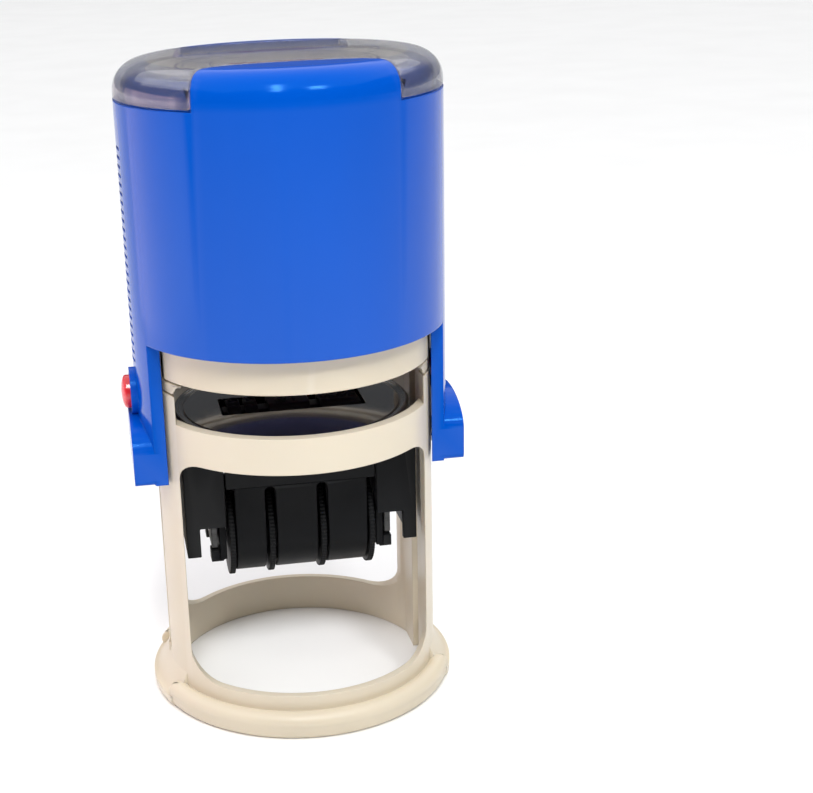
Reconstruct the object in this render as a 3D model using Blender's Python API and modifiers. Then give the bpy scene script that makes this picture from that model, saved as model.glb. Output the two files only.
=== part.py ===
"""Round self-inking date stamp, built as separate parts for a bench assembly.

Frame: +X to the right, -Y to the front, +Z up. The origin is the centre of the
foot ring, on the surface that the stamp stands on. Lengths below are in
millimetres and become metres when a mesh is made.

The stamp is shown at rest: the cap is held up by its lock buttons, and the
round die plate faces up, towards the ink pad.
"""

from math import acos, atan2, cos, pi, radians, sin, sqrt

import bmesh
import bpy
from mathutils import Matrix

MM = 0.001
GAP = 0.3            # between pieces that touch or slide
STEPS = 48           # facets around a full turn of a large ring
SMALL_STEPS = 18     # facets around a pin or a button

# Base frame
FRAME_R = 25.5       # outside of the frame's ring walls
FLAT_X = 25.1        # flat outer sides, inside the cap's legs
BASE_BORE_R = 24.3   # bore at the foot; it narrows to the bore at the bands
BAND_BORE_R = 23.7
TRACK_X = 22.7       # flat inner faces of the side walls
TRACK_FLOOR_X = 24.0 # bottom of the groove that guides the axle pins
TRACK_HALF_Y = 2.5
SLOT_HALF_Y = 2.0    # slot that the axle pins run down
FRAME_TOP = 60.8     # joint between base frame and pad housing
BAND_BOTTOM = 49.3   # middle band, in front and behind
BAND_TOP = 55.8
SILL = 7.2           # lower edge of the front and rear windows
WINDOW_X = 21.9      # half width of the windows
FOOT_R = 28.6
BEAD_R = 1.75        # round bead around the foot
BEAD_HALF_Y = 10.4   # the bead stops short of the sides
BEAD_Z = 3.0
SKIRT_HALF_Y = 11.2  # the sides flare out to the foot's radius instead
SKIRT_TOP = 9.5
LOCK_HOLE_R = 2.1    # holes that the lock buttons' pins drop into

# Pad housing and ink pad
RAIL_BOTTOM = FRAME_TOP + GAP
PAD_BOTTOM = 63.4
PAD_TOP = 69.55
HOUSING_TOP = 71.2
HOUSING_WALL_X = 23.6
HOUSING_R = 25.4
REAR_BAY_R = 23.5
SPRING_POST = (3.2, 4.6)  # inner and outer radius of the post that centres the spring
SPRING_POST_TOP = 74.5    # stays under the cap's ceiling at full press
CASSETTE_HALF_X = 23.3
CASSETTE_FRONT_R = 25.6
CASSETTE_REAR_R = 23.1
FELT_R = 20.4
FELT_BOTTOM = 63.8
FELT_TOP = 66.5
DATE_FELT = (13.1, 4.8)  # half width and half depth of the date's own felt

# Cap
CAP_R = 28.2
CAP_BORE_R = 26.2
CAP_EDGE = 69.9      # lower edge, in front and behind
LEG_BOTTOM = 44.0
LEG_HALF_Y = 11.0
EAR_X = 29.7
EAR_SHOULDER = 50.0
EAR_TOP = 55.0
CAP_DECK = 114.4     # blue deck under the index card
COVER_EDGE = 110.2   # lower edge of the clear cover
CROWN_FILLET = 5.0
CROWN_EDGE = 116.5   # where the top's rounded edge ends
CROWN_RISE = 0.6     # the top is slightly domed
SHIELD_HALF_X = 16.8 # raised shields, in front and behind
SHIELD_Y = 17.8
SHIELD_CORNER = 6.0  # seen from above
DECK_SHEET = 1.3     # thickness of the deck
COVER_WALL = 1.2
CARD_R = 22.3
SEAT_TOP = 113.6     # top of the pieces that merge into the deck from below
BUTTON_Z = 58.5
COLLAR_R = 4.35      # collar around the left lock button
COLLAR_X = 29.1

# Each lock button: how far out its tip is, its head's radius, where its hole steps, its flange's radius.
LOCK_BUTTONS = {
    "left": {"side": -1, "tip": 30.7, "head_r": 3.0, "step_x": 28.2, "flange_r": 3.5},
    "right": {"side": 1, "tip": 28.7, "head_r": 2.6, "step_x": 27.6, "flange_r": 3.2},
}

# Flip carriage
AXLE_Z = 47.0        # the carriage turns about this axle, along X
AXLE_R = 1.6
DIE_R = 21.5
DIE_BOTTOM = 52.0
DIE_FACE = 54.0
DATE_WINDOW = (13.1, 4.7)
SIDE_PLATE_X = 21.2
SIDE_PLATE_BOTTOM = 28.5
BEARING_X = 13.9     # inner faces of the plates that hold the wheel axle
SHEET = 1.3          # wall of the side and bearing plates
WHEEL_AXLE_R = 1.2
WHEEL_Z = 31.0
WHEEL_R = 9.5
WHEEL_HUB_R = 6.1
WHEEL_BORE_R = 1.5
WHEEL_FLANGE = 1.0
BAND_OUTER_R = 7.2
BAND_WALL = 0.8
BAND_FACE = 54.6     # print face of the date bands
COVER_R = 8.7
TEETH = 26

# Each date wheel: flange centre, and the ends of the hub that its band runs on.
WHEELS = (
    {"flange_x": -12.9, "hub": (-12.9, -9.2), "band": (-11.9, -9.5)},
    {"flange_x": -5.6, "hub": (-8.9, -5.6), "band": (-8.7, -6.4)},
    {"flange_x": 3.9, "hub": (-4.8, 3.9), "band": (-4.5, 3.1)},
    {"flange_x": 12.9, "hub": (4.7, 12.9), "band": (5.0, 12.1)},
)

IVORY = {"name": "ivory_plastic", "colour": (0.80, 0.72, 0.58), "roughness": 0.35, "metallic": 0.0}
BLUE = {"name": "blue_plastic", "colour": (0.0, 0.16, 0.72), "roughness": 0.22, "metallic": 0.0}
SMOKE = {"name": "smoked_clear_plastic", "colour": (0.10, 0.09, 0.09), "roughness": 0.08, "metallic": 0.0}
BLACK = {"name": "black_plastic", "colour": (0.012, 0.012, 0.014), "roughness": 0.4, "metallic": 0.0}
GLOSS = {"name": "gloss_black_plastic", "colour": (0.01, 0.01, 0.012), "roughness": 0.12, "metallic": 0.0}
RED = {"name": "red_plastic", "colour": (0.75, 0.02, 0.03), "roughness": 0.25, "metallic": 0.0}
RUBBER = {"name": "black_rubber", "colour": (0.02, 0.02, 0.022), "roughness": 0.8, "metallic": 0.0}
STEEL = {"name": "zinc_steel", "colour": (0.55, 0.56, 0.57), "roughness": 0.35, "metallic": 1.0}
TEXT_FELT = {"name": "text_felt", "colour": (0.05, 0.06, 0.25), "roughness": 0.95, "metallic": 0.0}
DATE_FELT_INK = {"name": "date_felt", "colour": (0.45, 0.03, 0.04), "roughness": 0.95, "metallic": 0.0}
CARD = {"name": "card", "colour": (0.72, 0.69, 0.63), "roughness": 0.7, "metallic": 0.0}


# ---------------------------------------------------------------- scene

def clear_scene():
    for obj in list(bpy.context.scene.objects):
        bpy.data.objects.remove(obj, do_unlink=True)


def new_collection(name):
    collection = bpy.data.collections.new(name)
    bpy.context.scene.collection.children.link(collection)
    return collection


def material(finish):
    found = bpy.data.materials.get(finish["name"])
    if found:
        return found
    mat = bpy.data.materials.new(finish["name"])
    mat.use_nodes = True
    shader = mat.node_tree.nodes["Principled BSDF"]
    shader.inputs["Base Color"].default_value = (*finish["colour"], 1.0)
    shader.inputs["Roughness"].default_value = finish["roughness"]
    shader.inputs["Metallic"].default_value = finish["metallic"]
    mat.diffuse_color = (*finish["colour"], 1.0)
    return mat


# ---------------------------------------------------------------- shapes

def add_object(name, mesh, collection):
    obj = bpy.data.objects.new(name, mesh)
    collection.objects.link(obj)
    return obj


def box(name, collection, low, high):
    """Block between two corners."""
    bm = bmesh.new()
    size = [(b - a) * MM for a, b in zip(low, high)]
    centre = [(a + b) / 2 * MM for a, b in zip(low, high)]
    bmesh.ops.create_cube(bm, size=1.0, matrix=Matrix.Translation(centre) @ Matrix.Diagonal((*size, 1)))
    mesh = bpy.data.meshes.new(name)
    bm.to_mesh(mesh)
    bm.free()
    return add_object(name, mesh, collection)


def rod(name, collection, radius, x_ends, y=0.0, z=0.0, steps=SMALL_STEPS):
    """Cylinder along X between two ends."""
    length = abs(x_ends[1] - x_ends[0])
    centre = ((x_ends[0] + x_ends[1]) / 2 * MM, y * MM, z * MM)
    turn = Matrix.Translation(centre) @ Matrix.Rotation(pi / 2, 4, "Y")
    bm = bmesh.new()
    bmesh.ops.create_cone(bm, cap_ends=True, segments=steps, radius1=radius * MM, radius2=radius * MM,
                          depth=length * MM, matrix=turn)
    mesh = bpy.data.meshes.new(name)
    bm.to_mesh(mesh)
    bm.free()
    return add_object(name, mesh, collection)


def turned(name, collection, profile, steps=STEPS, closed=True):
    """Turned solid about Z. The profile is (radius, height), outer side first, top to bottom."""
    mesh = bpy.data.meshes.new(name)
    points = [(r * MM, 0.0, z * MM) for r, z in profile]
    edges = [(i, i + 1) for i in range(len(points) - 1)]
    if closed:
        edges.append((len(points) - 1, 0))
    mesh.from_pydata(points, edges, [])
    obj = add_object(name, mesh, collection)
    screw = obj.modifiers.new("turn", "SCREW")
    screw.steps = steps
    screw.render_steps = steps
    screw.use_merge_vertices = True
    screw.merge_threshold = 0.00001
    return obj


def as_mesh(obj, collection, weld=0.000001):
    """Replace an object by its evaluated mesh, with its turn and place kept."""
    depsgraph = bpy.context.evaluated_depsgraph_get()
    mesh = bpy.data.meshes.new_from_object(obj.evaluated_get(depsgraph))
    bm = bmesh.new()
    bm.from_mesh(mesh)
    bmesh.ops.remove_doubles(bm, verts=bm.verts, dist=weld)
    bm.to_mesh(mesh)
    bm.free()
    name = obj.name
    place = obj.matrix_world.copy()
    bpy.data.objects.remove(obj)
    solid = add_object(name, mesh, collection)
    solid.matrix_world = place
    return solid


def plate(name, collection, outlines, ends, axis):
    """Flat outline, with any holes, extruded along X, Y or Z between two ends.

    An outline for X is given as (y, z), for Y as (x, z) and for Z as (x, y).
    """
    curve = bpy.data.curves.new(name, "CURVE")
    curve.dimensions = "2D"
    curve.fill_mode = "BOTH"
    curve.extrude = abs(ends[1] - ends[0]) / 2 * MM
    for outline in outlines:
        spline = curve.splines.new("POLY")
        spline.points.add(len(outline) - 1)
        for point, (u, v) in zip(spline.points, outline):
            point.co = (u * MM, v * MM, 0.0, 1.0)
        spline.use_cyclic_u = True
    obj = add_object(name, curve, collection)
    middle = (ends[0] + ends[1]) / 2 * MM
    if axis == "X":
        obj.rotation_euler = (pi / 2, 0.0, pi / 2)
        obj.location = (middle, 0.0, 0.0)
    elif axis == "Y":
        obj.rotation_euler = (pi / 2, 0.0, 0.0)
        obj.location = (0.0, middle, 0.0)
    else:
        obj.location = (0.0, 0.0, middle)
    bpy.context.view_layer.update()
    return as_mesh(obj, collection)


def arc(centre, radius, start, end, count=6):
    """Points along an arc, in degrees, both ends included."""
    return [
        (centre[0] + radius * cos(radians(start + (end - start) * i / count)),
         centre[1] + radius * sin(radians(start + (end - start) * i / count)))
        for i in range(count + 1)
    ]


def rounded_box(low, high, radii, count=5):
    """Rectangle with its own radius at each corner, from the lower left one round."""
    corners = (
        ((low[0], low[1]), (1, 1), 180.0),
        ((high[0], low[1]), (-1, 1), 270.0),
        ((high[0], high[1]), (-1, -1), 0.0),
        ((low[0], high[1]), (1, -1), 90.0),
    )
    points = []
    for (corner, inward, start), radius in zip(corners, radii):
        if radius <= 0:
            points.append(corner)
            continue
        centre = (corner[0] + inward[0] * radius, corner[1] + inward[1] * radius)
        points += arc(centre, radius, start, start + 90.0, count)
    return points


def boolean(obj, other, cutters, operation="DIFFERENCE"):
    """Cut, join or keep the shared part, with the other body hidden among the cutters."""
    for collection in list(other.users_collection):
        collection.objects.unlink(other)
    cutters.objects.link(other)
    other.hide_render = True
    other.display_type = "WIRE"
    step = obj.modifiers.new(operation.lower(), "BOOLEAN")
    step.operation = operation
    step.solver = "EXACT"
    step.object = other
    return obj


def finish(obj, look, parent=None):
    """Give a piece its material, and hang it on the empty that marks its joint."""
    solid = as_mesh(obj, obj.users_collection[0])
    solid.data.materials.clear()
    solid.data.materials.append(material(look))
    solid.data.shade_smooth()
    solid.data.set_sharp_from_angle(angle=radians(35))
    if parent:
        solid.parent = parent
        solid.location = solid.location - parent.location
    return solid


def joint_marker(name, collection, place):
    """Empty on a joint's axis."""
    marker = add_object(name, None, collection)
    marker.location = [value * MM for value in place]
    marker.empty_display_size = 5 * MM
    bpy.context.view_layer.update()
    return marker


# ---------------------------------------------------------------- base frame

def base_frame(parts, cutters):
    """Foot ring, side walls with their axle tracks, and the two middle bands."""
    outside = [(0.0, FRAME_TOP), (FRAME_R, FRAME_TOP), (FRAME_R, 0.0), (0.0, 0.0)]
    frame = turned("base_frame", parts, outside, closed=False)
    sides = box("frame_sides", parts, (-FLAT_X, -40, -1), (FLAT_X, 40, 70))
    boolean(frame, sides, cutters, "INTERSECT")

    core = turned("frame_core", parts, [(0.0, 70.0), (BAND_BORE_R, 70.0), (BAND_BORE_R, BAND_BOTTOM),
                                        (BASE_BORE_R, 0.0), (BASE_BORE_R, -1.0), (0.0, -1.0)], closed=False)
    core_sides = box("core_sides", parts, (-TRACK_X, -40, -2), (TRACK_X, 40, 80))
    boolean(core, core_sides, cutters, "INTERSECT")
    boolean(frame, core, cutters)

    steps = 8
    skirt_r, skirt_low = FLAT_X - 0.4, 2.0
    skirt = [(skirt_r + (FOOT_R - skirt_r) * t / steps,
              skirt_low + (SKIRT_TOP - skirt_low) * (1 - t / steps) ** 2) for t in range(steps + 1)]
    inside = FLAT_X - 0.6
    skirt += [(FOOT_R, 0.8), (27.9, 0.0), (inside, 0.0), (inside, SKIRT_TOP)]
    foot = turned("foot_skirt", parts, skirt)
    skirt_sector = box("skirt_sector", parts, (-40, -SKIRT_HALF_Y, -1), (40, SKIRT_HALF_Y, 12))
    boolean(foot, skirt_sector, cutters, "INTERSECT")
    boolean(frame, foot, cutters, "UNION")

    bead_profile = arc((FOOT_R - BEAD_R, BEAD_Z), BEAD_R, 150, -30, 8)
    bead_profile += [(28.3, 0.9), (27.7, 0.0), (24.9, 0.0), (24.9, 3.9)]
    bead = turned("foot_bead", parts, bead_profile)
    boolean(bead, box("bead_sector", parts, (-40, -BEAD_HALF_Y, -1), (40, BEAD_HALF_Y, 12)), cutters)
    boolean(frame, bead, cutters, "UNION")

    groove = box("pin_track", parts, (-TRACK_FLOOR_X, -TRACK_HALF_Y, -1), (TRACK_FLOOR_X, TRACK_HALF_Y, 70))
    slot = box("pin_slot", parts, (-40, -SLOT_HALF_Y, 6.6), (40, SLOT_HALF_Y, 50.0))
    opening = rounded_box((-WINDOW_X, SILL), (WINDOW_X, BAND_BOTTOM), (5, 5, 3.5, 3.5))
    window = plate("window", parts, [opening], (-40, 40), "Y")
    mouth = box("upper_window", parts, (-WINDOW_X, -40, BAND_TOP), (WINDOW_X, 40, 70))
    lock_hole = rod("lock_hole", parts, LOCK_HOLE_R, (-40, 40), z=BUTTON_Z)
    for cutter in (groove, slot, window, mouth, lock_hole):
        boolean(frame, cutter, cutters)
    return finish(frame, IVORY)


def pad_housing(parts, cutters):
    """Upper frame inside the cap: rails for the ink pad cassette and the spring's deck."""
    outside = [(0.0, HOUSING_TOP), (HOUSING_R, HOUSING_TOP), (HOUSING_R, RAIL_BOTTOM), (0.0, RAIL_BOTTOM)]
    outer = turned("pad_housing", parts, outside, closed=False)
    boolean(outer, box("housing_sides", parts, (-FLAT_X, -40, 50), (FLAT_X, 40, 80)), cutters, "INTERSECT")

    bay_top = PAD_TOP + 0.45
    bay_low = PAD_BOTTOM - GAP
    bay_x = HOUSING_WALL_X
    hollow = [(0.0, bay_top), (REAR_BAY_R, bay_top), (REAR_BAY_R, bay_low), (0.0, bay_low)]
    bay = turned("pad_bay", parts, hollow, closed=False)
    boolean(bay, box("bay_sides", parts, (-bay_x, -1, 50), (bay_x, 40, 80)), cutters, "INTERSECT")
    front_bay = box("front_bay", parts, (-bay_x, -40, bay_low), (bay_x, 0, bay_top))
    between_rails = rounded_box((-WINDOW_X, 50), (WINDOW_X, bay_low + 0.05), (0, 0, 2, 2))
    below = plate("under_rails", parts, [between_rails], (-40, REAR_BAY_R - 0.1), "Y")
    rear_gap = box("rear_gap", parts, (-WINDOW_X, 20, 50), (WINDOW_X, 40, bay_low))
    for cutter in (bay, front_bay, below, rear_gap):
        boolean(outer, cutter, cutters)

    inner, outer_r = SPRING_POST
    sunk = HOUSING_TOP - 0.8
    ring = [(outer_r, SPRING_POST_TOP), (outer_r, sunk), (inner, sunk), (inner, SPRING_POST_TOP)]
    boolean(outer, turned("spring_post", parts, ring, steps=SMALL_STEPS), cutters, "UNION")
    return finish(outer, IVORY)


def return_spring(parts):
    """Conical coil between the housing's deck and the cap's ceiling."""
    turns = 5.5
    per_turn = 13
    wire = 0.55
    low = HOUSING_TOP + GAP + wire
    high = CAP_DECK - DECK_SHEET - GAP - wire
    low_r, high_r = 14.0, 7.5
    count = int(turns * per_turn)
    curve = bpy.data.curves.new("return_spring", "CURVE")
    curve.dimensions = "3D"
    curve.bevel_depth = wire * MM
    curve.bevel_resolution = 2
    curve.use_fill_caps = True
    spline = curve.splines.new("POLY")
    spline.points.add(count)
    for index, point in enumerate(spline.points):
        share = index / count
        angle = 2 * pi * turns * share
        radius = low_r + (high_r - low_r) * share
        height = low + (high - low) * share
        point.co = (radius * cos(angle) * MM, radius * sin(angle) * MM, height * MM, 1.0)
    return finish(add_object("return_spring", curve, parts), STEEL)


# ---------------------------------------------------------------- ink pad

def pad_cassette(parts, cutters, marker):
    """Flat tray that slides out to the front, with its felt pocket underneath."""
    half_x = CASSETTE_HALF_X
    halves = []
    sectors = (("pad_cassette", CASSETTE_FRONT_R, (-40, 0)), ("rear_half", CASSETTE_REAR_R, (-2, 40)))
    for name, radius, y_ends in sectors:
        disc = [(0.0, PAD_TOP), (radius, PAD_TOP), (radius, PAD_BOTTOM), (0.0, PAD_BOTTOM)]
        half = turned(name, parts, disc, closed=False)
        boolean(half, box("half_block", parts, (-half_x, y_ends[0], 50), (half_x, y_ends[1], 80)), cutters,
                "INTERSECT")
        halves.append(half)
    cassette, rear = halves
    boolean(cassette, rear, cutters, "UNION")
    ceiling = FELT_TOP + GAP
    hollow = [(0.0, ceiling), (FELT_R + GAP, ceiling), (FELT_R + GAP, 50.0), (0.0, 50.0)]
    boolean(cassette, turned("felt_pocket", parts, hollow, closed=False), cutters)
    return finish(cassette, IVORY, marker)


def ink_pads(parts, cutters, marker):
    """Felt ring for the text and a separate felt block for the date."""
    half_x, half_y = DATE_FELT
    disc = [(0.0, FELT_TOP), (FELT_R, FELT_TOP), (FELT_R, FELT_BOTTOM), (0.0, FELT_BOTTOM)]
    ring = turned("ink_pad_text", parts, disc, closed=False)
    bay = box("date_bay", parts, (-half_x - GAP, -half_y - GAP, 50), (half_x + GAP, half_y + GAP, 80))
    finish(boolean(ring, bay, cutters), TEXT_FELT, marker)
    block = box("ink_pad_date", parts, (-half_x, -half_y, FELT_BOTTOM), (half_x, half_y, FELT_TOP))
    finish(block, DATE_FELT_INK, marker)


# ---------------------------------------------------------------- cap

def crown(thickness):
    """Outline of the cap's top, from the middle out to the straight side."""
    radius = CROWN_FILLET - thickness
    start = CAP_R - CROWN_FILLET
    dome = [(start * i / 3, CROWN_EDGE - thickness + CROWN_RISE * (1 - (i / 3) ** 2)) for i in range(3)]
    return dome + arc((start, CROWN_EDGE - CROWN_FILLET), radius, 90, 0, 6)


def shield_outlines(clearance):
    """Top view of both shields: straight sides that turn in to the back over a wide corner."""
    half = SHIELD_HALF_X + clearance
    corner = SHIELD_CORNER + clearance
    front = rounded_box((-half, -40), (half, -SHIELD_Y + clearance), (0, 0, corner, corner), count=8)
    return [front, [(x, -y) for x, y in reversed(front)]]


def leg_ear(side, parts, cutters):
    """Flat boss at the foot of a leg, arched at its top, that holds the axle pin."""
    half = LEG_HALF_Y
    arch = [(half * cos(radians(a)), EAR_SHOULDER + (EAR_TOP - EAR_SHOULDER) * sin(radians(a)))
            for a in range(0, 181, 12)]
    corner = 1.0
    bottom = arc((-half + corner, LEG_BOTTOM + corner), corner, 180, 270, 3)
    bottom += arc((half - corner, LEG_BOTTOM + corner), corner, 270, 360, 3)
    ends = sorted((side * 23.0, side * EAR_X))
    ear = plate("ear", parts, [arch + bottom], ends, "X")
    bore = turned("ear_bore", parts, [(0.0, 60.0), (27.2, 60.0), (27.2, 40.0), (0.0, 40.0)], closed=False)
    return boolean(ear, bore, cutters)


def cap_shell(parts, cutters):
    """Blue cap: drum, two legs with ears, front and rear shields, and the card's deck."""
    neck = CAP_R - 1.6
    profile = [(0.0, CAP_DECK), (neck - 2.4, CAP_DECK)]
    profile += arc((neck - 2.4, CAP_DECK - 2.4), 2.4, 75, 0, 5)
    profile += [(neck, COVER_EDGE), (CAP_R, COVER_EDGE), (CAP_R, LEG_BOTTOM), (CAP_BORE_R, LEG_BOTTOM),
                (CAP_BORE_R, CAP_DECK - 3.4), (CAP_BORE_R - 2.0, CAP_DECK - DECK_SHEET),
                (0.0, CAP_DECK - DECK_SHEET)]
    cap = turned("cap_shell", parts, profile, closed=False)
    for side in (-1, 1):
        y_ends = sorted((side * LEG_HALF_Y, side * 40))
        boolean(cap, box("between_legs", parts, (-40, y_ends[0], 30), (40, y_ends[1], CAP_EDGE)), cutters)

    inner_r = CAP_BORE_R + 0.2
    under = [(CAP_R, COVER_EDGE), (inner_r, 108.6), (inner_r, 112.0), (inner_r - 1.9, SEAT_TOP), (0.0, SEAT_TOP)]
    shield = turned("shields", parts, crown(0.0) + under, closed=False)
    boolean(shield, plate("shield_plan", parts, shield_outlines(0.0), (100, 130), "Z"), cutters, "INTERSECT")
    boolean(cap, shield, cutters, "UNION")

    for side in (-1, 1):
        boolean(cap, leg_ear(side, parts, cutters), cutters, "UNION")
        hole_x = sorted((side * 20, side * 28.4))
        boolean(cap, rod("axle_hole", parts, AXLE_R + GAP, hole_x, z=AXLE_Z), cutters)
    collar = rod("button_collar", parts, COLLAR_R, (-COLLAR_X, -27.0), z=BUTTON_Z, steps=32)
    boolean(cap, collar, cutters, "UNION")
    for button in LOCK_BUTTONS.values():
        side, step_x = button["side"], button["step_x"]
        outer_hole = sorted((side * (step_x - 0.1), side * 35))
        inner_hole = sorted((side * 20, side * step_x))
        boolean(cap, rod("head_hole", parts, button["head_r"] + GAP, outer_hole, z=BUTTON_Z), cutters)
        boolean(cap, rod("flange_hole", parts, button["flange_r"] + GAP, inner_hole, z=BUTTON_Z), cutters)

    seat_low = SEAT_TOP - 3.1
    ring = [(6.6, SEAT_TOP), (6.6, seat_low), (5.4, seat_low), (5.4, SEAT_TOP)]
    boolean(cap, turned("spring_seat", parts, ring, steps=SMALL_STEPS), cutters, "UNION")
    return finish(cap, BLUE)


def top_cover(parts, cutters):
    """Smoked clear cover that lifts off, notched for the two shields."""
    edge = [(CAP_R, COVER_EDGE + GAP), (CAP_R - COVER_WALL, COVER_EDGE + GAP)]
    profile = crown(0.0) + edge + crown(COVER_WALL)[::-1]
    cover = turned("top_cover", parts, profile, closed=False)
    boolean(cover, plate("shield_notch", parts, shield_outlines(GAP), (90, 130), "Z"), cutters)
    return finish(cover, SMOKE)


def index_card(parts, cutters):
    """Paper disc that shows a print of the stamp, trimmed to clear the shields."""
    low = CAP_DECK + GAP
    high = low + 0.3
    disc = [(0.0, high), (CARD_R, high), (CARD_R, low), (0.0, low)]
    card = turned("index_card", parts, disc, closed=False)
    trim = box("card_trim", parts, (-40, -SHIELD_Y + 0.5, 100), (40, SHIELD_Y - 0.5, 130))
    return finish(boolean(card, trim, cutters, "INTERSECT"), CARD)


def lock_button(which, parts, marker):
    """Button turned about X: head outside, flange behind the step, and the lock pin."""
    name = f"lock_button_{which}"
    side, tip, head_r, step_x, flange_r = LOCK_BUTTONS[which].values()
    flange_out = step_x - GAP
    flange_in = flange_out - 0.7
    dome = 0.9
    profile = [(0.0, tip)]
    profile += [(head_r * sin(radians(a)), tip - dome * (1 - cos(radians(a)))) for a in (20, 40, 60, 75, 90)]
    profile += [(head_r, flange_out), (flange_r, flange_out), (flange_r, flange_in), (AXLE_R, flange_in),
                (AXLE_R, 25.5), (0.0, 25.5)]
    button = turned(name, parts, profile, steps=SMALL_STEPS, closed=False)
    button.rotation_euler = (0.0, side * pi / 2, 0.0)
    button.location = (0.0, 0.0, BUTTON_Z * MM)
    bpy.context.view_layer.update()
    return finish(button, RED, marker)


def axle_pin(side, parts, marker):
    """Steel stub axle from a cap ear, through the frame's slot, to the carriage."""
    name = "axle_pin_left" if side < 0 else "axle_pin_right"
    pin = rod(name, parts, AXLE_R, sorted((side * 19.4, side * 28.1)), z=AXLE_Z)
    return finish(pin, STEEL, marker)


# ---------------------------------------------------------------- flip carriage

def die_plate(parts, cutters, marker):
    """Round plate that carries the text die, with a low rim and the date window."""
    rim = [(DIE_R - 0.9, DIE_FACE), (DIE_R - 0.7, DIE_FACE + 0.3), (DIE_R - 0.2, DIE_FACE + 0.3),
           (DIE_R, DIE_FACE + 0.1)]
    disc = [(0.0, DIE_FACE)] + rim + [(DIE_R, DIE_BOTTOM), (0.0, DIE_BOTTOM)]
    die = turned("die_plate", parts, disc, closed=False)
    half_x, half_y = DATE_WINDOW
    boolean(die, box("date_window", parts, (-half_x, -half_y, 40), (half_x, half_y, 60)), cutters)
    return finish(die, GLOSS, marker)


def carriage_frame(parts, cutters, marker):
    """Deck under the die plate, channel side plates, and the plates that hold the wheel axle."""
    deck_top = DIE_BOTTOM - GAP
    deck_low = deck_top - 1.6
    deck_r = DIE_R - 0.9
    disc = [(0.0, deck_top), (deck_r, deck_top), (deck_r, deck_low), (0.0, deck_low)]
    frame = turned("carriage_frame", parts, disc, closed=False)
    half_x = DATE_WINDOW[0] + 0.3
    half_y = DATE_WINDOW[1] + 0.5
    boolean(frame, box("band_gap", parts, (-half_x, -half_y, 40), (half_x, half_y, 60)), cutters)
    for side in (-1, 1):
        outer = sorted((side * 18.7, side * SIDE_PLATE_X))
        channel = box("side_plate", parts, (outer[0], -9.0, SIDE_PLATE_BOTTOM),
                      (outer[1], 9.0, deck_low + 0.8))
        inside = sorted((side * 17.0, side * (SIDE_PLATE_X - SHEET)))
        hollow = box("channel_hollow", parts, (inside[0], -7.8, 20), (inside[1], 7.8, deck_low - 2.0))
        boolean(channel, hollow, cutters)
        boolean(frame, channel, cutters, "UNION")
        inner = sorted((side * BEARING_X, side * (BEARING_X + SHEET)))
        bearing = box("bearing_plate", parts, (inner[0], -7.4, 27.0), (inner[1], 7.4, deck_low + 0.7))
        boolean(frame, bearing, cutters, "UNION")
        foot_x = sorted((side * (BEARING_X + 0.6), side * 16.8))
        web_x = sorted((side * BEARING_X, side * 18.9))
        for y_ends in ((-9.0, -7.9), (7.9, 9.0)):
            web = box("web", parts, (web_x[0], y_ends[0], 34.0), (web_x[1], y_ends[1], deck_low + 0.7))
            boolean(frame, web, cutters, "UNION")
        for y in (-7.2, 4.2):
            foot = box("bearing_foot", parts, (foot_x[0], y, 26.6), (foot_x[1], y + 3.0, 28.8))
            boolean(frame, foot, cutters, "UNION")
    boolean(frame, rod("wheel_axle_hole", parts, WHEEL_AXLE_R + GAP, (-17.5, 17.5), z=WHEEL_Z), cutters)
    boolean(frame, rod("pin_hole", parts, AXLE_R + GAP, (-30, 30), z=AXLE_Z), cutters)
    return finish(frame, BLACK, marker)


def band_bridge(parts, marker):
    """Nose that the date bands bend over, just under the print face."""
    half_x = DATE_WINDOW[0] - GAP
    nose = BAND_FACE - BAND_WALL - GAP
    outline = rounded_box((-2.3, 43.6), (2.3, nose), (0.8, 0.8, 0.9, 0.9), count=3)
    return finish(plate("band_bridge", parts, [outline], (-half_x, half_x), "X"), BLACK, marker)


def band_loop(outset):
    """Side view of a date band: round under the wheel, flat over the bridge."""
    wheel_r = BAND_OUTER_R + outset
    nose_r = 1.6 + outset
    nose_y, nose_z = 2.0, BAND_FACE - 1.6
    reach = sqrt(nose_y ** 2 + (nose_z - WHEEL_Z) ** 2)
    lean = atan2(nose_z - WHEEL_Z, nose_y)
    tangent = (lean - acos((wheel_r - nose_r) / reach)) * 180 / pi
    right = arc((nose_y, nose_z), nose_r, tangent, 90, 4)
    left = [(-y, z) for y, z in reversed(right)]
    under = arc((0.0, WHEEL_Z), wheel_r, 180 - tangent, 360 + tangent, 18)
    return right + left + under


def date_band(number, parts, marker):
    low, high = WHEELS[number - 1]["band"]
    outlines = [band_loop(0.0), band_loop(-BAND_WALL)]
    band = plate(f"date_band_{number}", parts, outlines, (low, high), "X")
    return finish(band, RUBBER, marker)


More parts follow.
